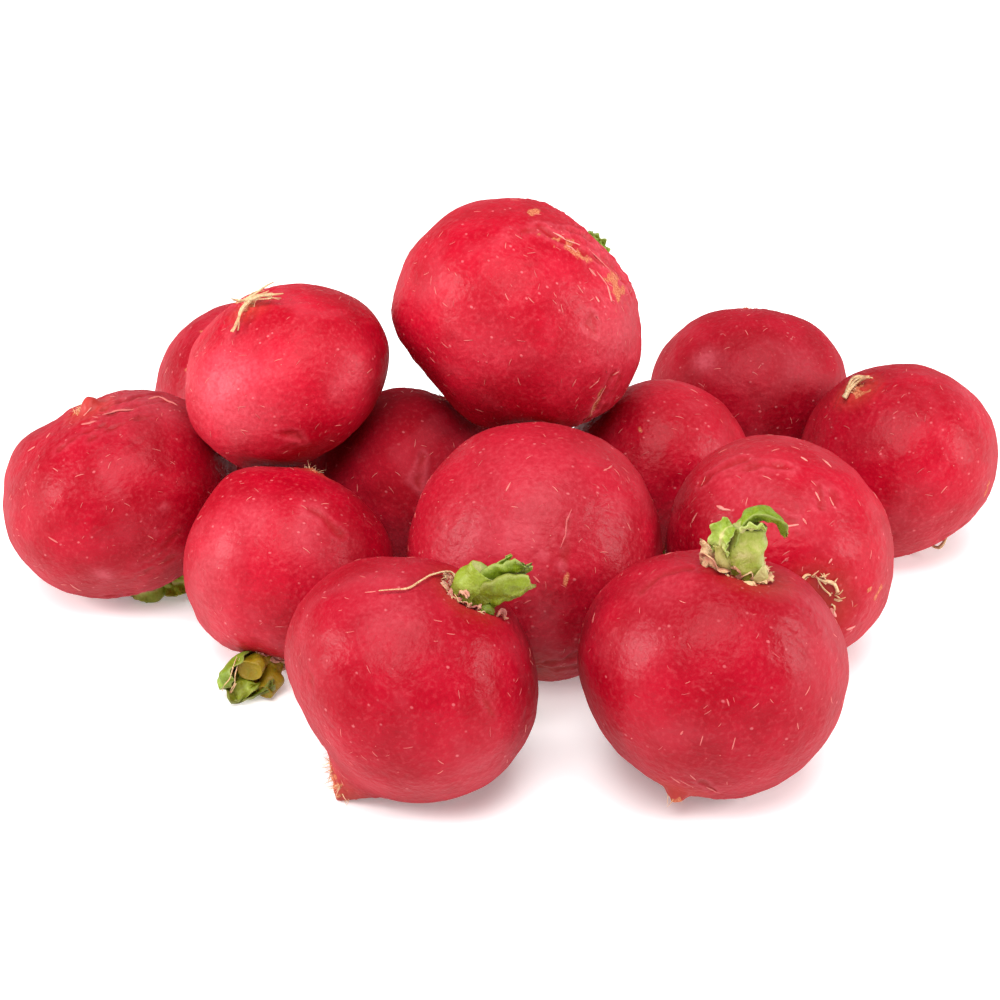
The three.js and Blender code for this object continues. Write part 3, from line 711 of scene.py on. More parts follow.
skin_red = red_skin()
scar_pink = shaded_skin("healed_scar", (0.36, 0.008, 0.018, 1), (0.66, 0.21, 0.17, 1), 0.5)
rootlet_tan = shaded_skin("dry_rootlet", (0.6, 0.3, 0.13, 1), (0.84, 0.66, 0.42, 1), 0.7)
scars = growth_tree()
crowns, tails, skins = {}, {}, {}
skin_faces = tube_faces(RINGS, SIDES, 0, 1 + RINGS * SIDES)
for seed, name in enumerate(ROOTS, 1):
    even, skin, marks, crown, tail = grow_root(name, seed)
    low, high = (np.array(corner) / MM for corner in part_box(f"{name}_root"))
    middle = (low + high) / 2 - (even.min(0) + even.max(0)) / 2
    middle[2] = high[2] - even[:, 2].max()
    skin = skin + middle
    skins[name] = (middle, skin)
    crowns[name] = (even[0] + middle, crown)
    tails[name] = (even[-1] + middle, tail)
    root = mesh_piece(f"{name}_radish", skin, skin_faces, skin_red, marks)
    amount = ROOTS[name].get("scarred", 1.0)
    settle(root, scars, scars_per_m2=34000.0 * amount, pores_per_m2=20000.0, scar_length=1.7 * MM,
           pore_width=0.25 * MM, rootlets_per_m2=2.5e6, rootlet_length=1.8 * MM, bend_radius=18 * MM,
           seed=seed * 100, finish=scar_pink, rootlet_finish=rootlet_tan)
    spots = np.empty(3 * len(root.data.vertices), np.float32)
    root.data.vertices.foreach_get("co", spots)
    spots[2::3] = np.maximum(spots[2::3], 0)
    root.data.vertices.foreach_set("co", spots)
    fit(root, f"{name}_root")

# ---------------------------------------------------------------------------------------------------------
# Leaf stubs: what a knife left of the leaves, a few fleshy ribbed stalks that grow out of each crown and,
# on some, torn strips of leaf between them. They are pale where they grew and greener towards the cut.

# Corners are in mm from the crown along the room's axes, with the width and depth of a stalk, or the width
# of a strip, at each. The side is the way the width runs, and leafy is how green it is along its length.
# Each stalk: corners, side, how torn its end is, leafy, and what else is its own.
STALKS = {
    "front_right": [
        ([(-0.5, 0.2, -2, 3.8, 3.6), (-0.8, 0.1, 0.6, 4.9, 4.3), (-0.9, 0, 3.8, 5.3, 4.5),
         (-0.6, 0, 8, 4.6, 3.2)], (1, 0, 0), 0.4, [0.34, 0.28, 0.2, 0.14, 0.2], dict(ribs=3, rib=0.03,
         lumpy=0.05, gold=0.2)),
        ([(-1.8, -0.4, -1.2, 2.4, 2.2), (-3.2, -0.7, 2.4, 2.8, 1.8), (-4.1, -0.5, 5.8, 2.6, 1.2)],
         (1, 0.5, 0), 1.2, [0, 0, 0.1], dict(gold=0.35)),
        ([(0.8, -0.8, -0.6, 2.4, 1.4), (1.2, -1.7, 1.2, 2.2, 0.7), (1.4, -2, 3.1, 0.4, 0.2)], (1, 0.3, 0),
         0.6, [0, 0, 0], dict(paled=0.2, lumpy=0.05)),
    ],
    "front_left": [
        ([(-0.8, 0, -1.5, 4.6, 4.2), (0.8, 0, 1.8, 5.2, 4.4), (2.7, 0, 4.1, 4.2, 3.4)], (0.8, 0, -0.5), 0.2,
         [0.2, 0.3, 0.36], dict(ribs=3, rib=0.03, lumpy=0.06, gold=0.15)),
        ([(1.2, -1, -1.4, 2.4, 2), (2.8, -1.6, -0.8, 2.2, 1.6), (4, -1.7, -1.4, 1.2, 0.8)], (0, 1, 0.4),
         0.6, [0.5, 0.7, 0.8], {}),
    ],
    "near_left": [
        ([(0, 1, 0.8, 3.4, 3), (-1.5, -3.2, 0.4, 3.7, 3.2), (-2.4, -6.4, 0.8, 3.8, 3.2)], (1, 0, 0), 0.1,
         [0.5, 0.6, 0.62], dict(ribs=3, rib=0.04, cut_green=0.62, paled=0.15, gold=0.85)),
        ([(0.3, 0.6, -0.4, 3, 2.6), (0.5, -3.6, -1.9, 3.6, 2.9), (-0.4, -6.8, -2.7, 2.8, 2.2)], (1, 0, 0),
         0.3, [0.45, 0.55, 0.62], dict(ribs=3, rib=0.04, cut_green=0.6, paled=0.15, gold=0.9)),
        ([(-0.6, 0.6, 0, 3, 2.2), (-4, -3, -0.9, 3.4, 2), (-5.4, -5.6, -1.6, 2.6, 1.4)], (0.4, 0, 1), 0.8,
         [0.5, 0.7, 0.8], dict(paled=0.3, gold=0.3)),
    ],
    "far_left": [
        ([(-0.4, 0.8, 1.2, 3.6, 2.4), (1, -0.6, -1, 3.4, 2), (2.6, -0.8, -1.9, 2.2, 1.2)], (0, 1, 0), 1,
         [0.3, 0.3, 0.4], {}),
    ],
    "top": [
        ([(-1.2, 0, -1.6, 3.2, 3), (0.6, 0.9, 0.8, 3.2, 2.4), (1.6, 1.4, 1.5, 2.4, 1.4)], (-0.6, 1, 0), 0.8,
         [0.3, 0.5, 0.6], {}),
    ],
}
# each strip: corners, side, leafy, cup, ruffle, waves, how ragged, how torn, and what else is its own
STRIPS = {
    "front_right": [
        ([(-2.2, 0, 5.4, 3), (-1.5, 0.2, 7.9, 3.4), (0, 0.4, 9.3, 3.8), (2, 0.4, 9.3, 4),
         (3.6, 0.2, 8.4, 3.6), (4.2, -0.1, 7.2, 2.4)], (0, 1, -0.15), [0.35, 0.45, 0.52, 0.62], -0.5, 0.1,
         2, 0.35, 2, {}),
        ([(-3.9, -0.8, 4.2, 2.2), (-4.5, -0.9, 5.8, 3), (-4.1, -0.8, 7.4, 3.2), (-2.8, -0.5, 8.5, 2.6)],
         (0.9, -0.7, 0), [0, 0.08, 0.2, 0.3], 0.5, 0.35, 4, 0.35, 0.9, {}),
        ([(-1.9, -1.4, 8, 1), (-0.9, -1.7, 8.5, 1.5), (0.2, -1.6, 8.6, 1.5), (1.4, -1.4, 8.1, 1)],
         (0.2, -0.6, 0.8), [0, 0.1, 0.2], 0.3, 0.3, 3, 0.5, 0.6, {}),
    ],
    "front_left": [
        ([(1, 0.6, 0, 3), (3.4, 0.7, 2.6, 4.8), (6, 0.7, 3.4, 5.4), (8.3, 0.7, 4.3, 5.2)], (0.3, -0.7, 0.8),
         [0.3, 0.4, 0.46], 0.35, 0.15, 2, 0.15, 3, dict(thick=0.8)),
        ([(1.4, -0.9, -1.2, 3.6), (4, -1.2, 0.7, 5.2), (6.6, -1.3, 1.9, 5), (9.2, -1.3, 2.8, 3.2)],
         (0.2, -0.5, 1), [0.66, 0.6, 0.54, 0.3], 0.5, 0.15, 2, 0.15, 2, dict(thick=0.9, gold=0.15)),
        ([(2, 1.2, 1, 2), (4.4, 1.6, 3.4, 2.6), (6.2, 1.8, 5.2, 1.6)], (0.3, -0.6, 0.8), [0.25, 0.35, 0.4],
         0.5, 0.3, 2, 0.4, 2, {}),
    ],
    "near_left": [
        ([(-2, 0, 0.2, 3.6), (-4.8, -3.6, 0.3, 5.2), (-6.5, -6, -0.7, 5), (-6.4, -7, -2, 3.4)],
         (0.3, -0.2, 1), [0.4, 0.5, 0.56], 0.7, 0.45, 3, 0.15, 0.6, {}),
        ([(-0.6, -1.4, -1.2, 4), (-1.8, -4.4, -2.1, 6.4), (-2.4, -6.6, -2.6, 7.6), (-2.1, -7.4, -3.1, 6.4)],
         (1, 0, 0), [0.6, 0.7, 0.7, 0.6], -0.5, 0.6, 4, 0.2, 0.6, dict(thick=0.7, gold=0.1)),
        ([(-2.4, -5.4, -0.8, 2.4), (-2.9, -7, -1.6, 4.6), (-2.2, -7.6, -2.4, 4.4)], (1, 0, -0.3),
         [0.5, 0.6, 0.5], 0.5, 0.5, 3, 0.3, 0.5, dict(gold=0.2)),
    ],
    # the far_left strips are a paler green than they grew: painted light on leaves that lie in the root's
    # shade
    "far_left": [
        ([(0, 0.8, 0.8, 3.6), (1.4, -1.4, -0.8, 4.4), (3.2, -2.2, -0.5, 4.2), (5, -2, 0.4, 2.8)],
         (0, 0.5, 0.85), [0.2, 0.3, 0.36], -0.4, 0.45, 4, 0.3, 1.4, dict(thick=0.6, gold=0.2)),
        ([(0, 0.8, 0.8, 3.4), (-0.8, -1.8, -1.7, 4), (-2.8, -2.6, -2, 3.4), (-4.6, -2.6, -2.3, 2)],
         (0, 0.5, 0.85), [0.2, 0.26, 0.1], -0.4, 0.35, 3, 0.3, 1.2, dict(thick=0.6, gold=0.1)),
    ],
    "top": [
        ([(-0.8, 0.5, 1.5, 1.8), (0.9, 0.3, 1.3, 2.8), (2.3, -0.1, 0.3, 2.8), (3.3, -0.9, -1.5, 1.8)],
         (0.5, -0.5, 0.7), [0.4, 0.55, 0.5, 0.35], 0.3, 0.4, 5, 0.3, 0.6, {}),
        ([(-1.1, -0.6, 1.3, 1.6), (0.5, -0.7, 1.1, 2.4), (2, -1.1, 0.1, 2.4), (2.8, -1.7, -1.5, 1.6)],
         (0.6, -0.2, 0.8), [0.3, 0.45, 0.4], 0.2, 0.35, 5, 0.35, 0.6, {}),
    ],
}
# plain short stubs of three stalks each, by length in mm
SHORT_STUBS = {
    "back_left": 5, "upper_left": 3.6, "mid_left": 3.8, "centre": 4.4, "mid_right": 4, "back_right": 4.4,
}


def between(values, share):
    """Values in a row, read off at shares of its length."""
    values = np.array(values, float)
    if len(values) == 1:
        return np.repeat(values, len(share), axis=0)
    at = share * (len(values) - 1)
    low = np.minimum(at.astype(int), len(values) - 2)
    part = at - low
    if values.ndim == 2:
        part = part[:, None]
    return values[low] * (1 - part) + values[low + 1] * part


def along_path(corners, side, steps):
    """Places along a smooth path, with the way it runs, its width's way and its depth's way at each."""
    corners = np.array(corners, float)
    ends = np.vstack([2 * corners[0] - corners[1], corners, 2 * corners[-1] - corners[-2]])
    at = np.linspace(0, len(corners) - 1 - 1e-6, steps)
    first = at.astype(int)
    t = (at - first)[:, None]
    a, b, c, d = (ends[first + i] for i in range(4))
    bow, twist = 2 * a - 5 * b + 4 * c - d, 3 * b - a - 3 * c + d
    places = 0.5 * (2 * b + (c - a) * t + bow * t**2 + twist * t**3)
    runs = one_long(np.gradient(places, axis=0))
    side = np.array(side, float)
    wide = one_long(side - (runs @ side)[:, None] * runs)
    return places, runs, wide, np.cross(wide, runs)


def hoops(places, wide, across, deep, up):
    """Rings of points round the places of a path, across and up being how far each point lies out."""
    return places[:, None] + wide[:, None] * across[..., None] + deep[:, None] * up[..., None]


def frayed(dice, low, waves, u):
    """An uneven edge made of a few waves."""
    return sum(dice.uniform(low, 1) * np.sin(k * u + dice.uniform(0, 6)) / k**0.5 for k in waves)


def closed_tube(rings, first, last, **values):
    """Points, faces and point values of a tube that is closed by one point at each end."""
    count, sides = rings.shape[:2]
    points = np.vstack([first, rings.reshape(-1, 3), last])
    full = {key: np.concatenate([value.reshape(-1)[:1], value.reshape(-1), value.reshape(-1)[-1:]])
            for key, value in values.items()}
    return points, tube_faces(count, sides, 0, 1 + count * sides), full


def stalk(path, side, seed, leafy, torn=1.0, ribs=5, rib=0.09, cut_green=0.15, paled=1.0, gold=0.0,
          lumpy=0.12, sides=48, steps=30):
    """A fleshy ribbed stalk with a frayed, hollowed cut end."""
    path = np.array(path, float)
    places, runs, wide, deep = along_path(path[:, :3], side, steps)
    share = np.linspace(0, 1, steps)
    size = between(path[:, 3:], share) / 2
    rounds = circle(sides)
    dice = np.random.default_rng(seed)
    ribbed = 1 + rib * (np.abs(np.cos(ribs * rounds / 2 + dice.uniform(0, 3))) - 0.6)
    ribbed = ribbed - 0.1 * bell(np.angle(np.exp(1j * (rounds - math.pi / 2))), 0, 0.5)
    across, up = size[:, :1] * np.cos(rounds) * ribbed, size[:, 1:] * np.sin(rounds) * ribbed
    rings = hoops(places, wide, across, deep, up)
    rings += lumpy * (rings - places[:, None]) * ripple(rings, 3.2, seed + 1)[..., None]
    fray = frayed(dice, -1, (1, 2, 5, 9, 14), rounds)
    rings += runs[:, None] * (0.4 * torn * fray * share[:, None] ** 5)[..., None]
    middle = rings[-1].mean(0)
    face = [middle + (rings[-1] - middle) * inset - runs[-1] * sunk
            for inset, sunk in ((0.93, 0.05), (0.8, 0.22), (0.55, 0.32), (0.25, 0.36))]
    rings = np.concatenate([rings, face])
    leaf = np.repeat(np.append(between(leafy, share), [cut_green] * 4), sides)
    cut = np.repeat(np.append(np.zeros(steps), [0.6, 1, 1, 1]), sides) * paled
    return closed_tube(rings, places[0] - 0.1 * runs[0], middle - 0.38 * runs[-1], leafy=leaf, cut=cut,
                       gold=np.full(len(leaf), gold))


def blade(path, side, seed, leafy, cup, ruffle, waves, ragged, torn, thick=0.45, gold=0.0, columns=19,
          steps=46):
    """A torn strip of leaf: cupped, ruffled towards its edges, with a midrib and ragged edges."""
    path = np.array(path, float)
    places, runs, wide, deep = along_path(path[:, :3], side, steps)
    share = np.linspace(0, 1, steps)
    dice = np.random.default_rng(seed)
    u = np.linspace(1, -1, columns)
    half = between(path[:, 3], share) / 2
    edge = [1 + ragged * sum(dice.uniform(0.3, 1) * np.sin(k * share * 3 + dice.uniform(0, 6)) / k**0.6
                             for k in (3, 7, 12, 19)) / 2 for _ in range(2)]
    reach = np.where(u > 0, edge[0][:, None], edge[1][:, None]) * half[:, None] * u
    wave = np.sin(2 * math.pi * waves * share[:, None] + 2.2 * u + dice.uniform(0, 6))
    lift = cup * half[:, None] * (u**2 - 0.35) + ruffle * wave * np.abs(u) ** 1.3
    lift = lift + 0.16 * bell(u, 0, 0.16) + 0.05 * np.abs(np.sin(9 * u + 5 * share[:, None]))
    spot = places[:, None] + wide[:, None] * reach[..., None]
    lift = lift + 0.12 * ripple(spot, 1.8, seed + 2)
    fray = 0.35 * torn * frayed(dice, 0.4, (2, 5, 9, 15), u) * share[:, None] ** 6
    spot = spot + deep[:, None] * lift[..., None] + runs[:, None] * fray[..., None]
    rind = thick * (1 - 0.55 * u**4) * (0.55 + 0.45 * np.sin(math.pi * np.clip(share, 0.08, 0.92))[:, None])
    rind = deep[:, None] * (rind / 2)[..., None]
    rings = np.concatenate([spot + rind, (spot - rind)[:, ::-1]], axis=1)
    shades = between(leafy, share)[:, None] + 0.12 * np.abs(u) - 0.25 * bell(u, 0, 0.13)
    leaf = np.concatenate([shades, shades[:, ::-1]], axis=1)
    rim = np.concatenate([np.abs(u), np.abs(u[::-1])]) ** 16
    cut = np.clip(rim[None, :] * 0.7 + (share[:, None] > 0.985) * 0.8, 0, 1)
    return closed_tube(rings, rings[0].mean(0), rings[-1].mean(0), leafy=leaf, cut=cut,
                       gold=np.full(leaf.shape, gold))


def joined(name, parts, from_point, material):
    """One piece from several closed parts, whose points are in mm from a point."""
    points, faces, values, count = [], [], {}, 0
    for own_points, own_faces, own_values in parts:
        points.append(own_points + from_point)
        faces.extend([tuple(corner + count for corner in face) for face in own_faces])
        count += len(own_points)
        for key, value in own_values.items():
            values.setdefault(key, []).append(value)
    return mesh_piece(name, np.vstack(points), faces, material,
                      {key: np.concatenate(value) for key, value in values.items()})


def ramp(share, *stops):
    """Colours in a row, each at its place from 0 to 1."""
    made = add(share.id_data, "ShaderNodeValToRGB", {"Fac": share})
    row = made.color_ramp.elements
    for stop, (at, colour) in zip(row, (stops[0], stops[-1])):
        stop.position, stop.color = at, colour
    for at, colour in stops[1:-1]:
        row.new(at).color = colour
    return made.outputs[0]


def green_flesh():
    """Pale yellow where leafy is low, dark green where it is high, paler on a cut face."""
    made, tree, shader = new_material("leaf_stalk")
    place = add(tree, "ShaderNodeTexCoord").outputs["Object"]
    leafy, cut, gold = (known(tree, key) for key in ("leafy", "cut", "gold"))
    patch = cloud(place, 900, 4, 0.5)
    fine = cloud(place, 3200, 3)
    green = ramp(
        plus(leafy, times(reckon("SUBTRACT", patch, 0.5), 0.5)),
        (0.0, (0.44, 0.39, 0.15, 1)), (0.2, (0.26, 0.33, 0.045, 1)), (0.42, (0.17, 0.25, 0.005, 1)),
        (0.62, (0.12, 0.175, 0.003, 1)), (0.82, (0.075, 0.09, 0.002, 1)), (1.0, (0.035, 0.045, 0.002, 1)))
    green = tint(times(step(fine, 0.45, 0.7), 0.12), green, (0.4, 0.48, 0.14, 1))
    green = tint(times(cut, 0.5), green, tint(leafy, (0.5, 0.52, 0.24, 1), (0.26, 0.28, 0.04, 1)))
    green = tint(times(gold, step(patch, 0.1, 0.45)), green, (0.25, 0.15, 0.005, 1))
    rough = plus(times(patch, 0.3), 0.28)
    height = plus(times(fine, 0.4), patch)
    wire(shader, {"Base Color": green, "Roughness": rough, "Normal": bump(height, 0.00025),
                  "Specular IOR Level": 0.28})
    return made


def crown_ways(name):
    """The middle of a crown, the way out of it, and the ways right and back along it."""
    middle, out = crowns[name]
    right = one_long(np.array([1.0, 0, 0]) - out * out[0])
    return middle, out, right, np.cross(out, right)


def round_crown(right, back, turn):
    """The way out to one side of a crown."""
    return right * math.cos(turn) + back * math.sin(turn)


flesh_green = green_flesh()
for seed, name in enumerate(ROOTS, 1):
    middle, out, right, back = crown_ways(name)
    parts = [stalk(path, side, seed * 31 + i, leafy, torn, **more)
             for i, (path, side, torn, leafy, more) in enumerate(STALKS.get(name, []))]
    parts += [blade(path, side, seed * 37 + i, *look, **more)
              for i, (path, side, *look, more) in enumerate(STRIPS.get(name, []))]
    for i in range(3 if name in SHORT_STUBS else 0):
        away = round_crown(right, back, 2 * math.pi * (i + draw(seed, i + 60)) / 3)
        length = SHORT_STUBS[name] * (0.75 + 0.25 * draw(seed, i + 70))
        path = [[*(away * 0.9 - out * 1.5), 3, 2.6], [*(away * 1.3 + out * length / 2), 3, 2.2],
                [*(away * 1.9 + out * length), 2.6, 1.6]]
        parts.append(stalk(path, np.cross(out, away), seed * 31 + i, [0.1, 0.35, 0.5], sides=28, steps=16))
    if parts:
        fit(joined(f"{name}_leaf_stub", parts, middle, flesh_green), f"{name}_stub")

# ---------------------------------------------------------------------------------------------------------
# Collars: the dried bases of older leaves, thin brown papery scales that stand in a ragged ring round a
# crown, with fine bristles between them. Dry threads have come loose from three of them.

# radius, reach and shift are in mm. rise and rosy say how steep and how red the scales are. Each extra
# scale has corners in mm from the crown, with its width at each, and the way its width runs.
COLLARS = {
    "front_right": dict(radius=2.9, reach=1.7, scales=8, rise=1.0, rosy=0, shift=(-1.6, 1.1, 0.6), extra=[
        ([(-1.8, -1.6, 0, 2.8), (-3.2, -2.4, 1.4, 3.6), (-4.2, -2.2, 2.6, 3.4), (-5, -1.2, 2.4, 1.8)],
         (0.5, -0.8, 0.8)),
        ([(-3.2, -0.9, 0.4, 2.6), (-4, -1.2, 2.4, 2.6), (-4.6, -1, 4.2, 1.8), (-5.4, -0.7, 5, 0.3)],
         (0.9, -0.4, 0)),
        ([(2.6, -0.4, -0.6, 2), (3.4, -0.6, 0.4, 1.8), (3.2, -0.6, 1.6, 0.6)], (0.7, -0.6, 0.3)),
    ]),
    "front_left": dict(radius=3.3, reach=1, scales=10, rise=0.35, rosy=0.7, extra=[
        ([(-0.6, -1.4, 1.4, 1), (0, -2.2, 2, 1.1), (0.6, -2.4, 1.4, 0.5)], (1, 0, 0.4)),
        ([(4.2, -1.2, -2.4, 1), (5.2, -1.4, -1.8, 1.2), (5.6, -1.5, -2.6, 0.7)], (0.2, -0.8, 0.6)),
    ]),
    "near_left": dict(radius=3.1, reach=1.2, scales=9, rise=0.7, rosy=0.7),
    "near_right": dict(radius=3.2, reach=1.2, scales=0, rise=1, rosy=0, shift=(0, -0.1, 1.2)),
    "top": dict(radius=3, reach=0.5, scales=8, rise=0.45, rosy=1),
}
# curled threads on near_right: radius and thickness in mm, and where each starts and ends in radians
LOOSE_RINGS = ((3.4, 0.55, 0.2, 6.1), (3.1, 0.3, 0.9, 3.4), (2.3, 0.35, 0.1, 1.3))
# loose strings: how thick, and corners in mm from the crown
STRINGS = {
    "front_left": [
        (0.42, [(-0.6, 1.2, 0.6), (-1.1, 2.1, 1.7), (-1.8, 2.6, 2.4), (-3, 1.4, 3.1), (-4.6, -1.1, 4),
         (-5.8, -3.1, 4.3), (-7, -4.6, 4.2), (-8.9, -5.2, 4.1), (-11.2, -5.3, 3.9)]),
    ],
    "near_left": [
        (0.2, [(-4.4, -4.6, 2.2), (-4.9, -7.2, 1.5), (-5.2, -8.2, 0.4), (-6, -8.3, -0.6),
         (-6.6, -8.2, -1.8)]),
        (0.2, [(-4, -4.8, 2), (-4.4, -7.6, 1), (-4.4, -8.4, -0.2), (-5.1, -8.5, -1.2), (-5.5, -8.2, -2)]),
        (0.2, [(-4.4, -7.4, -0.8), (-4.9, -7.9, -1.6), (-5.3, -7.9, -2.4), (-4.6, -7.8, -2.7),
         (-4.4, -7.7, -2)]),
    ],
}


def thread(corners, thick, seed, sides=9, steps=40, wander=0.12):
    """A dry thread that tapers to its tip."""
    places, runs, wide, deep = along_path(corners, (0.31, 0.55, 0.77), steps)
    share = np.linspace(0, 1, steps)
    places = places + wander * np.stack([ripple(places, 4, seed + i) for i in range(3)], 1) * share[:, None]
    rounds = circle(sides)
    uneven = 1 + 0.25 * np.cos(2 * rounds + 9 * share[:, None])
    radius = (thick / 2 * (1 - 0.55 * share))[:, None] * uneven
    rings = hoops(places, wide, radius * np.cos(rounds), deep, radius * np.sin(rounds))
    age = np.repeat(0.2 + 0.3 * share, sides)
    return closed_tube(rings, places[0], places[-1] + runs[-1] * thick * 0.3, aged=age, rosy=0 * age)


def scale_leaf(path, side, seed, rosy, thick=0.22, torn=1.2):
    """A small dry strip of leaf, more or less aged."""
    points, faces, values = blade(path, side, seed, [0, 0], cup=0.45, ruffle=0.22, waves=2, ragged=0.4,
                                  torn=torn, thick=thick, columns=11, steps=20)
    aged = np.clip(0.25 + 0.5 * draw(seed, 3) + 0.2 * ripple(points, 2.5, seed), 0, 1)
    return points, faces, {"aged": aged, "rosy": np.full(len(aged), float(rosy))}


def dry_paper():
    """Straw where it has aged little, red brown where it has aged most, streaked."""
    made, tree, shader = new_material("dry_scale")
    place = add(tree, "ShaderNodeTexCoord").outputs["Object"]
    aged = known(tree, "aged")
    streak = cloud(place, 1500, 5, 1.2)
    patch = cloud(place, 500, 3)
    tan = ramp(
        plus(aged, times(reckon("SUBTRACT", patch, 0.5), 0.9)), (0.05, (0.7, 0.52, 0.3, 1)),
        (0.4, (0.6, 0.38, 0.19, 1)), (0.7, (0.48, 0.2, 0.12, 1)), (1.0, (0.16, 0.035, 0.015, 1)))
    tan = tint(times(step(streak, 0.42, 0.66), 0.5), tan, (0.22, 0.08, 0.03, 1))
    tan = tint(times(known(tree, "rosy"), 0.7), tan, (0.5, 0.15, 0.14, 1))
    wire(shader, {"Base Color": tan, "Roughness": 0.72, "Normal": bump(streak, 0.0002),
                  "Subsurface Weight": 0.1, "Subsurface Scale": 0.001})
    return made


paper_dry = dry_paper()
for name, plan in COLLARS.items():
    middle, out, right, back = crown_ways(name)
    seed = list(ROOTS).index(name) + 1
    dice = np.random.default_rng(seed + 500)
    wide_round, scales, rosy = plan["radius"], plan["scales"], plan["rosy"]
    parts = []
    # an outer layer that leans out, and an inner one that stands up
    layers = (scales, 0.0, 1.3, 1.0), (scales - 1, -0.5, 2.1, 0.35)
    for layer, (count, gap, high, lean) in enumerate(layers):
        for i in range(count):
            away = round_crown(right, back, 2 * math.pi * (i + 0.6 * dice.uniform() + 0.5 * layer) / count)
            far = plan["reach"] * dice.uniform(0.6, 1.15) * lean
            rise = high * dice.uniform(0.5, 1.2) * plan["rise"]
            start = wide_round + gap
            side = np.cross(out, away)
            twist = side * dice.uniform(-0.7, 0.7)
            width = 2 * math.pi * wide_round / count * dice.uniform(0.9, 1.5)
            corners = [away * start - out * 0.5, away * (start + 0.25 * far) + out * 0.55 * rise,
                       away * (start + 0.65 * far) + out * rise + twist * 0.5,
                       away * (start + far) + out * (rise * dice.uniform(0.3, 1)) + twist]
            widths = [width, width * 1.05, width * 0.8, width * 0.25]
            path = np.column_stack([corners, widths])
            parts.append(scale_leaf(path, side, seed * 53 + 11 * layer + i, rosy))
    parts += [scale_leaf(path, side, seed * 61 + i, rosy, thick=0.3, torn=0.8)
              for i, (path, side) in enumerate(plan.get("extra", []))]
    # fine bristles
    for i in range(16 if scales else 30):
        away = round_crown(right, back, dice.uniform(0, 2 * math.pi))
        sideways = np.cross(out, away) * dice.uniform(-1, 1)
        long = dice.uniform(0.5, 1.1) * plan["reach"]
        corners = [away * wide_round, away * (wide_round + 0.4 * long) + out * 0.7,
                   away * (wide_round + long) + out * dice.uniform(0.2, 1.4) + sideways]
        parts.append(thread(corners, 0.28, seed * 59 + i, sides=6, steps=10))
    parts += [thread(corners, thick, seed, sides=10, steps=60, wander=0.1)
              for thick, corners in STRINGS.get(name, [])]
    for i, (radius, thick, first, last) in enumerate(LOOSE_RINGS if name == "near_right" else ()):
        bends = np.linspace(first, last, 14)[:, None]
        uneven = radius * (1 + 0.1 * np.sin(4 * bends + i))
        loop = uneven * (right * np.cos(bends) + back * np.sin(bends))
        loop = loop + out * (0.5 + 0.4 * np.sin(3 * bends))
        parts.append(thread(loop, thick, seed + i, sides=8, steps=90, wander=0.45))
    collar = joined(f"{name}_papery_collar", parts, middle + plan.get("shift", (0, 0, 0)), paper_dry)
    fit(collar, f"{name}_collar")

# ---------------------------------------------------------------------------------------------------------
# Scratches: long healed welts where stones scraped the skin, thin raised lines of pale cork that follow the
# surface. They are part of the skin, like the short scars.

# each: how thick in mm, how pale, and the directions it runs through, as in ROOTS
SCRATCHES = {
    "top": [
        (0.35, 1, [(-57, 64), (-49, 58), (-38, 52)]), (0.5, 1, [(-51, 55), (-49, 51), (-44, 50)]),
        (0.3, 0.5, [(-33, 49), (-26, 39), (-24, 28)]), (0.3, 0.6, [(-44, 40), (-42, 35)]),
        (0.4, 0.8, [(-37, 29), (-39, 21)]), (0.5, 1, [(-49, 26), (-48, 23)]),
        (0.4, 0.9, [(-48, -46), (-51, -29), (-48, -24), (-47, -18)]), (0.3, 0.6, [(-39, 37), (-37, 29)]),
        (0.3, 0.7, [(-43, -14), (-39, -12)]), (0.3, 0.5, [(-58, -16), (-53, -13)]),
    ],
    "near_right": [
        (0.45, 1, [(-38, 81), (-39, 77)]), (0.35, 0.8, [(-2, 71), (-19, 66)]),
        (0.35, 0.8, [(-68, 58), (-67, 53)]), (0.35, 0.9, [(-56, 54), (-58, 49)]),
        (0.5, 1, [(-145, 43), (-138, 43), (-133, 44)]), (0.35, 0.8, [(-157, 29), (-156, 35)]),
        (0.35, 0.9, [(-95, 41), (-87, 42)]), (0.6, 1, [(-71, 0), (-68, -5)]),
        (0.45, 0.7, [(-62, -13), (-56, -13)]), (0.3, 0.7, [(-73, 23), (-71, 25)]),
        (0.3, 0.6, [(-84, 45), (-82, 42)]), (0.3, 0.6, [(-173, 45), (-178, 49)]),
    ],
    "far_left": [
        (0.3, 1, [(-149, 72), (-153, 78)]), (0.5, 0.45, [(-104, 76), (-72, 79), (-33, 74)]),
        (0.6, 0.6, [(14, 71), (25, 65), (9, 56)]), (0.5, 0.45, [(-129, 66), (-117, 68), (-106, 70)]),
        (0.35, 1, [(-159, 48), (-164, 51)]), (0.35, 0.7, [(-164, 35), (-161, 40)]),
        (0.25, 0.4, [(-116, 4), (-111, 2)]), (0.4, 0.7, [(-112, -26), (-109, -34)]),
    ],
    "centre": [
        (0.3, 0.15, [(-68, 46), (-73, 41), (-75, 35), (-79, 29)]), (0.25, 0.5, [(-113, 59), (-114, 54)]),
        (0.3, 0.5, [(-25, 56), (-18, 55), (-11, 54)]), (0.25, 0.4, [(131, 58), (119, 62)]),
        (0.25, 0.4, [(-92, 18), (-89, 15)]),
    ],
    "front_right": [
        (0.22, 0.5, [(-114, -22), (-109, -28)]), (0.2, 0.35, [(-109, -25), (-103, -30)]),
        (0.22, 0.5, [(-104, -20), (-101, -24)]), (0.22, 0.4, [(-97, -29), (-89, -36)]),
        (0.2, 0.3, [(-108, 2), (-107, 4)]), (0.2, 0.35, [(-100, -2), (-99, 3)]),
        (0.2, 0.4, [(-87, -4), (-86, 2)]), (0.2, 0.3, [(-90, 19), (-89, 16)]),
    ],
}


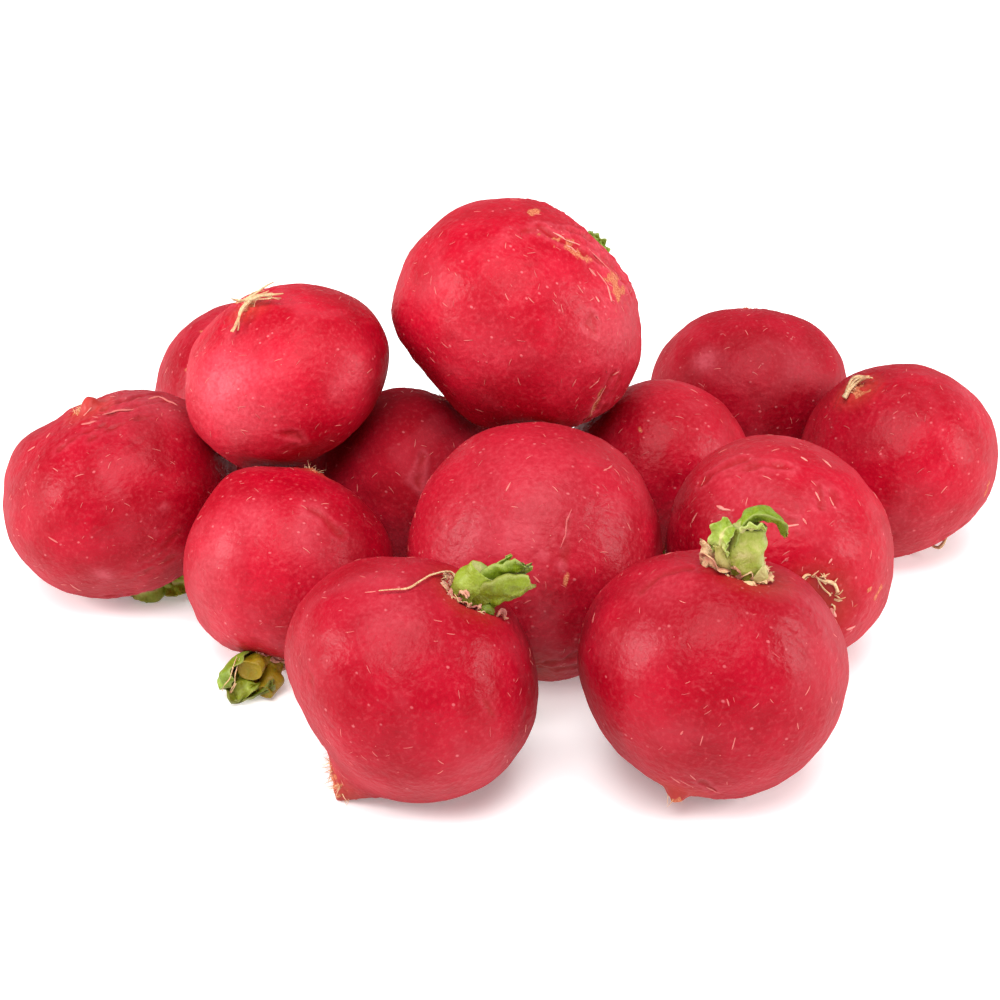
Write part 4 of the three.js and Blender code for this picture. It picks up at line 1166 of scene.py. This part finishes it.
def welt(name, thick, shade, corners, sides=7, steps=22):
    """A thin raised line over a root's skin that tapers to both ends, half sunk in it."""
    middle, skin = skins[name]
    out = skin - middle
    radius = np.linalg.norm(out, axis=1)
    ways = one_long(between([unit(*corner) for corner in corners], np.linspace(0, 1, steps)))
    apart = np.linalg.norm(out[None] / radius[None, :, None] - ways[:, None], axis=2)
    near = np.exp(-((apart / 0.03) ** 2))
    path = middle + ways * ((near * radius).sum(1) / near.sum(1))[:, None]
    wide = one_long(np.cross(np.gradient(path, axis=0), ways))
    rounds = circle(sides)
    taper = np.sqrt(np.sin(math.pi * np.linspace(0.02, 0.98, steps)))
    half = (thick / 2 * taper * (1 + 0.2 * ripple(path, 1.5, steps)))[:, None]
    rings = hoops(path, wide, half * np.cos(rounds), ways, half * 0.6 * np.sin(rounds))
    return closed_tube(rings, path[0], path[-1], shade=np.full((steps, sides), float(shade)))


for name, lines in SCRATCHES.items():
    welts = joined(f"{name}_scratches", [welt(name, *line) for line in lines], np.zeros(3), scar_pink)
    fit(welts, None)

# ---------------------------------------------------------------------------------------------------------
# Dry fibres: fine straw roots that stayed on the cut tails of two radishes, and a curled thread on a crown
# that has lost its green. Each is a bundle of thin tapered strands.

# Each group: the end it grows on, its root, and its strands. A strand has corners in mm from that end, its
# thickness, how many of it there are and how loosely they lie.
FIBRES = {
    "upper_left_tail_fibres": (tails, "upper_left", [
        ([(0.8, -0.4, 0.9), (-0.6, -2.6, 0.1), (-1.6, -5.4, -2)], 0.7, 4, 0.2),
        ([(0, -0.9, 1), (1.8, 0.6, 1.4), (3.5, 1.8, 1.6)], 0.55, 5, 0.5),
        ([(0, -1, 0.9), (2.6, -0.8, 1.5), (5.6, -0.8, 1.6)], 0.6, 4, 0.3),
        ([(0.2, -0.6, 0.9), (-1.2, -0.8, 1), (-2.2, -1.4, 0.8)], 0.5, 3, 0.4),
    ]),
    "far_right_tail_fibres": (tails, "far_right", [
        ([(-1.9, -1.8, -1), (0, 0, 1.2), (2.2, -0.4, 2)], 1.0, 3, 0.3),
    ]),
    "far_right_crown_thread": (crowns, "far_right", [
        ([(0, 0, 1), (0.6, -1.6, -1.2), (1.8, -2.8, -1.8), (3.2, -2.4, -0.6), (2.6, -2.2, 0.7)],
         1.0, 2, 0.25),
    ]),
}
for name, (ends, root, strands) in FIBRES.items():
    dice = np.random.default_rng(len(name))
    parts = []
    for corners, thick, count, loose in strands:
        for i in range(count):
            stray = dice.normal(size=(len(corners), 3)) * loose * np.linspace(0.3, 1, len(corners))[:, None]
            own_thick = thick * dice.uniform(0.5, 0.9)
            parts.append(thread(np.array(corners) + stray, own_thick, 71 + 7 * i + len(parts)))
    fit(joined(f"{name}_dry", parts, ends[root][0], paper_dry), name)
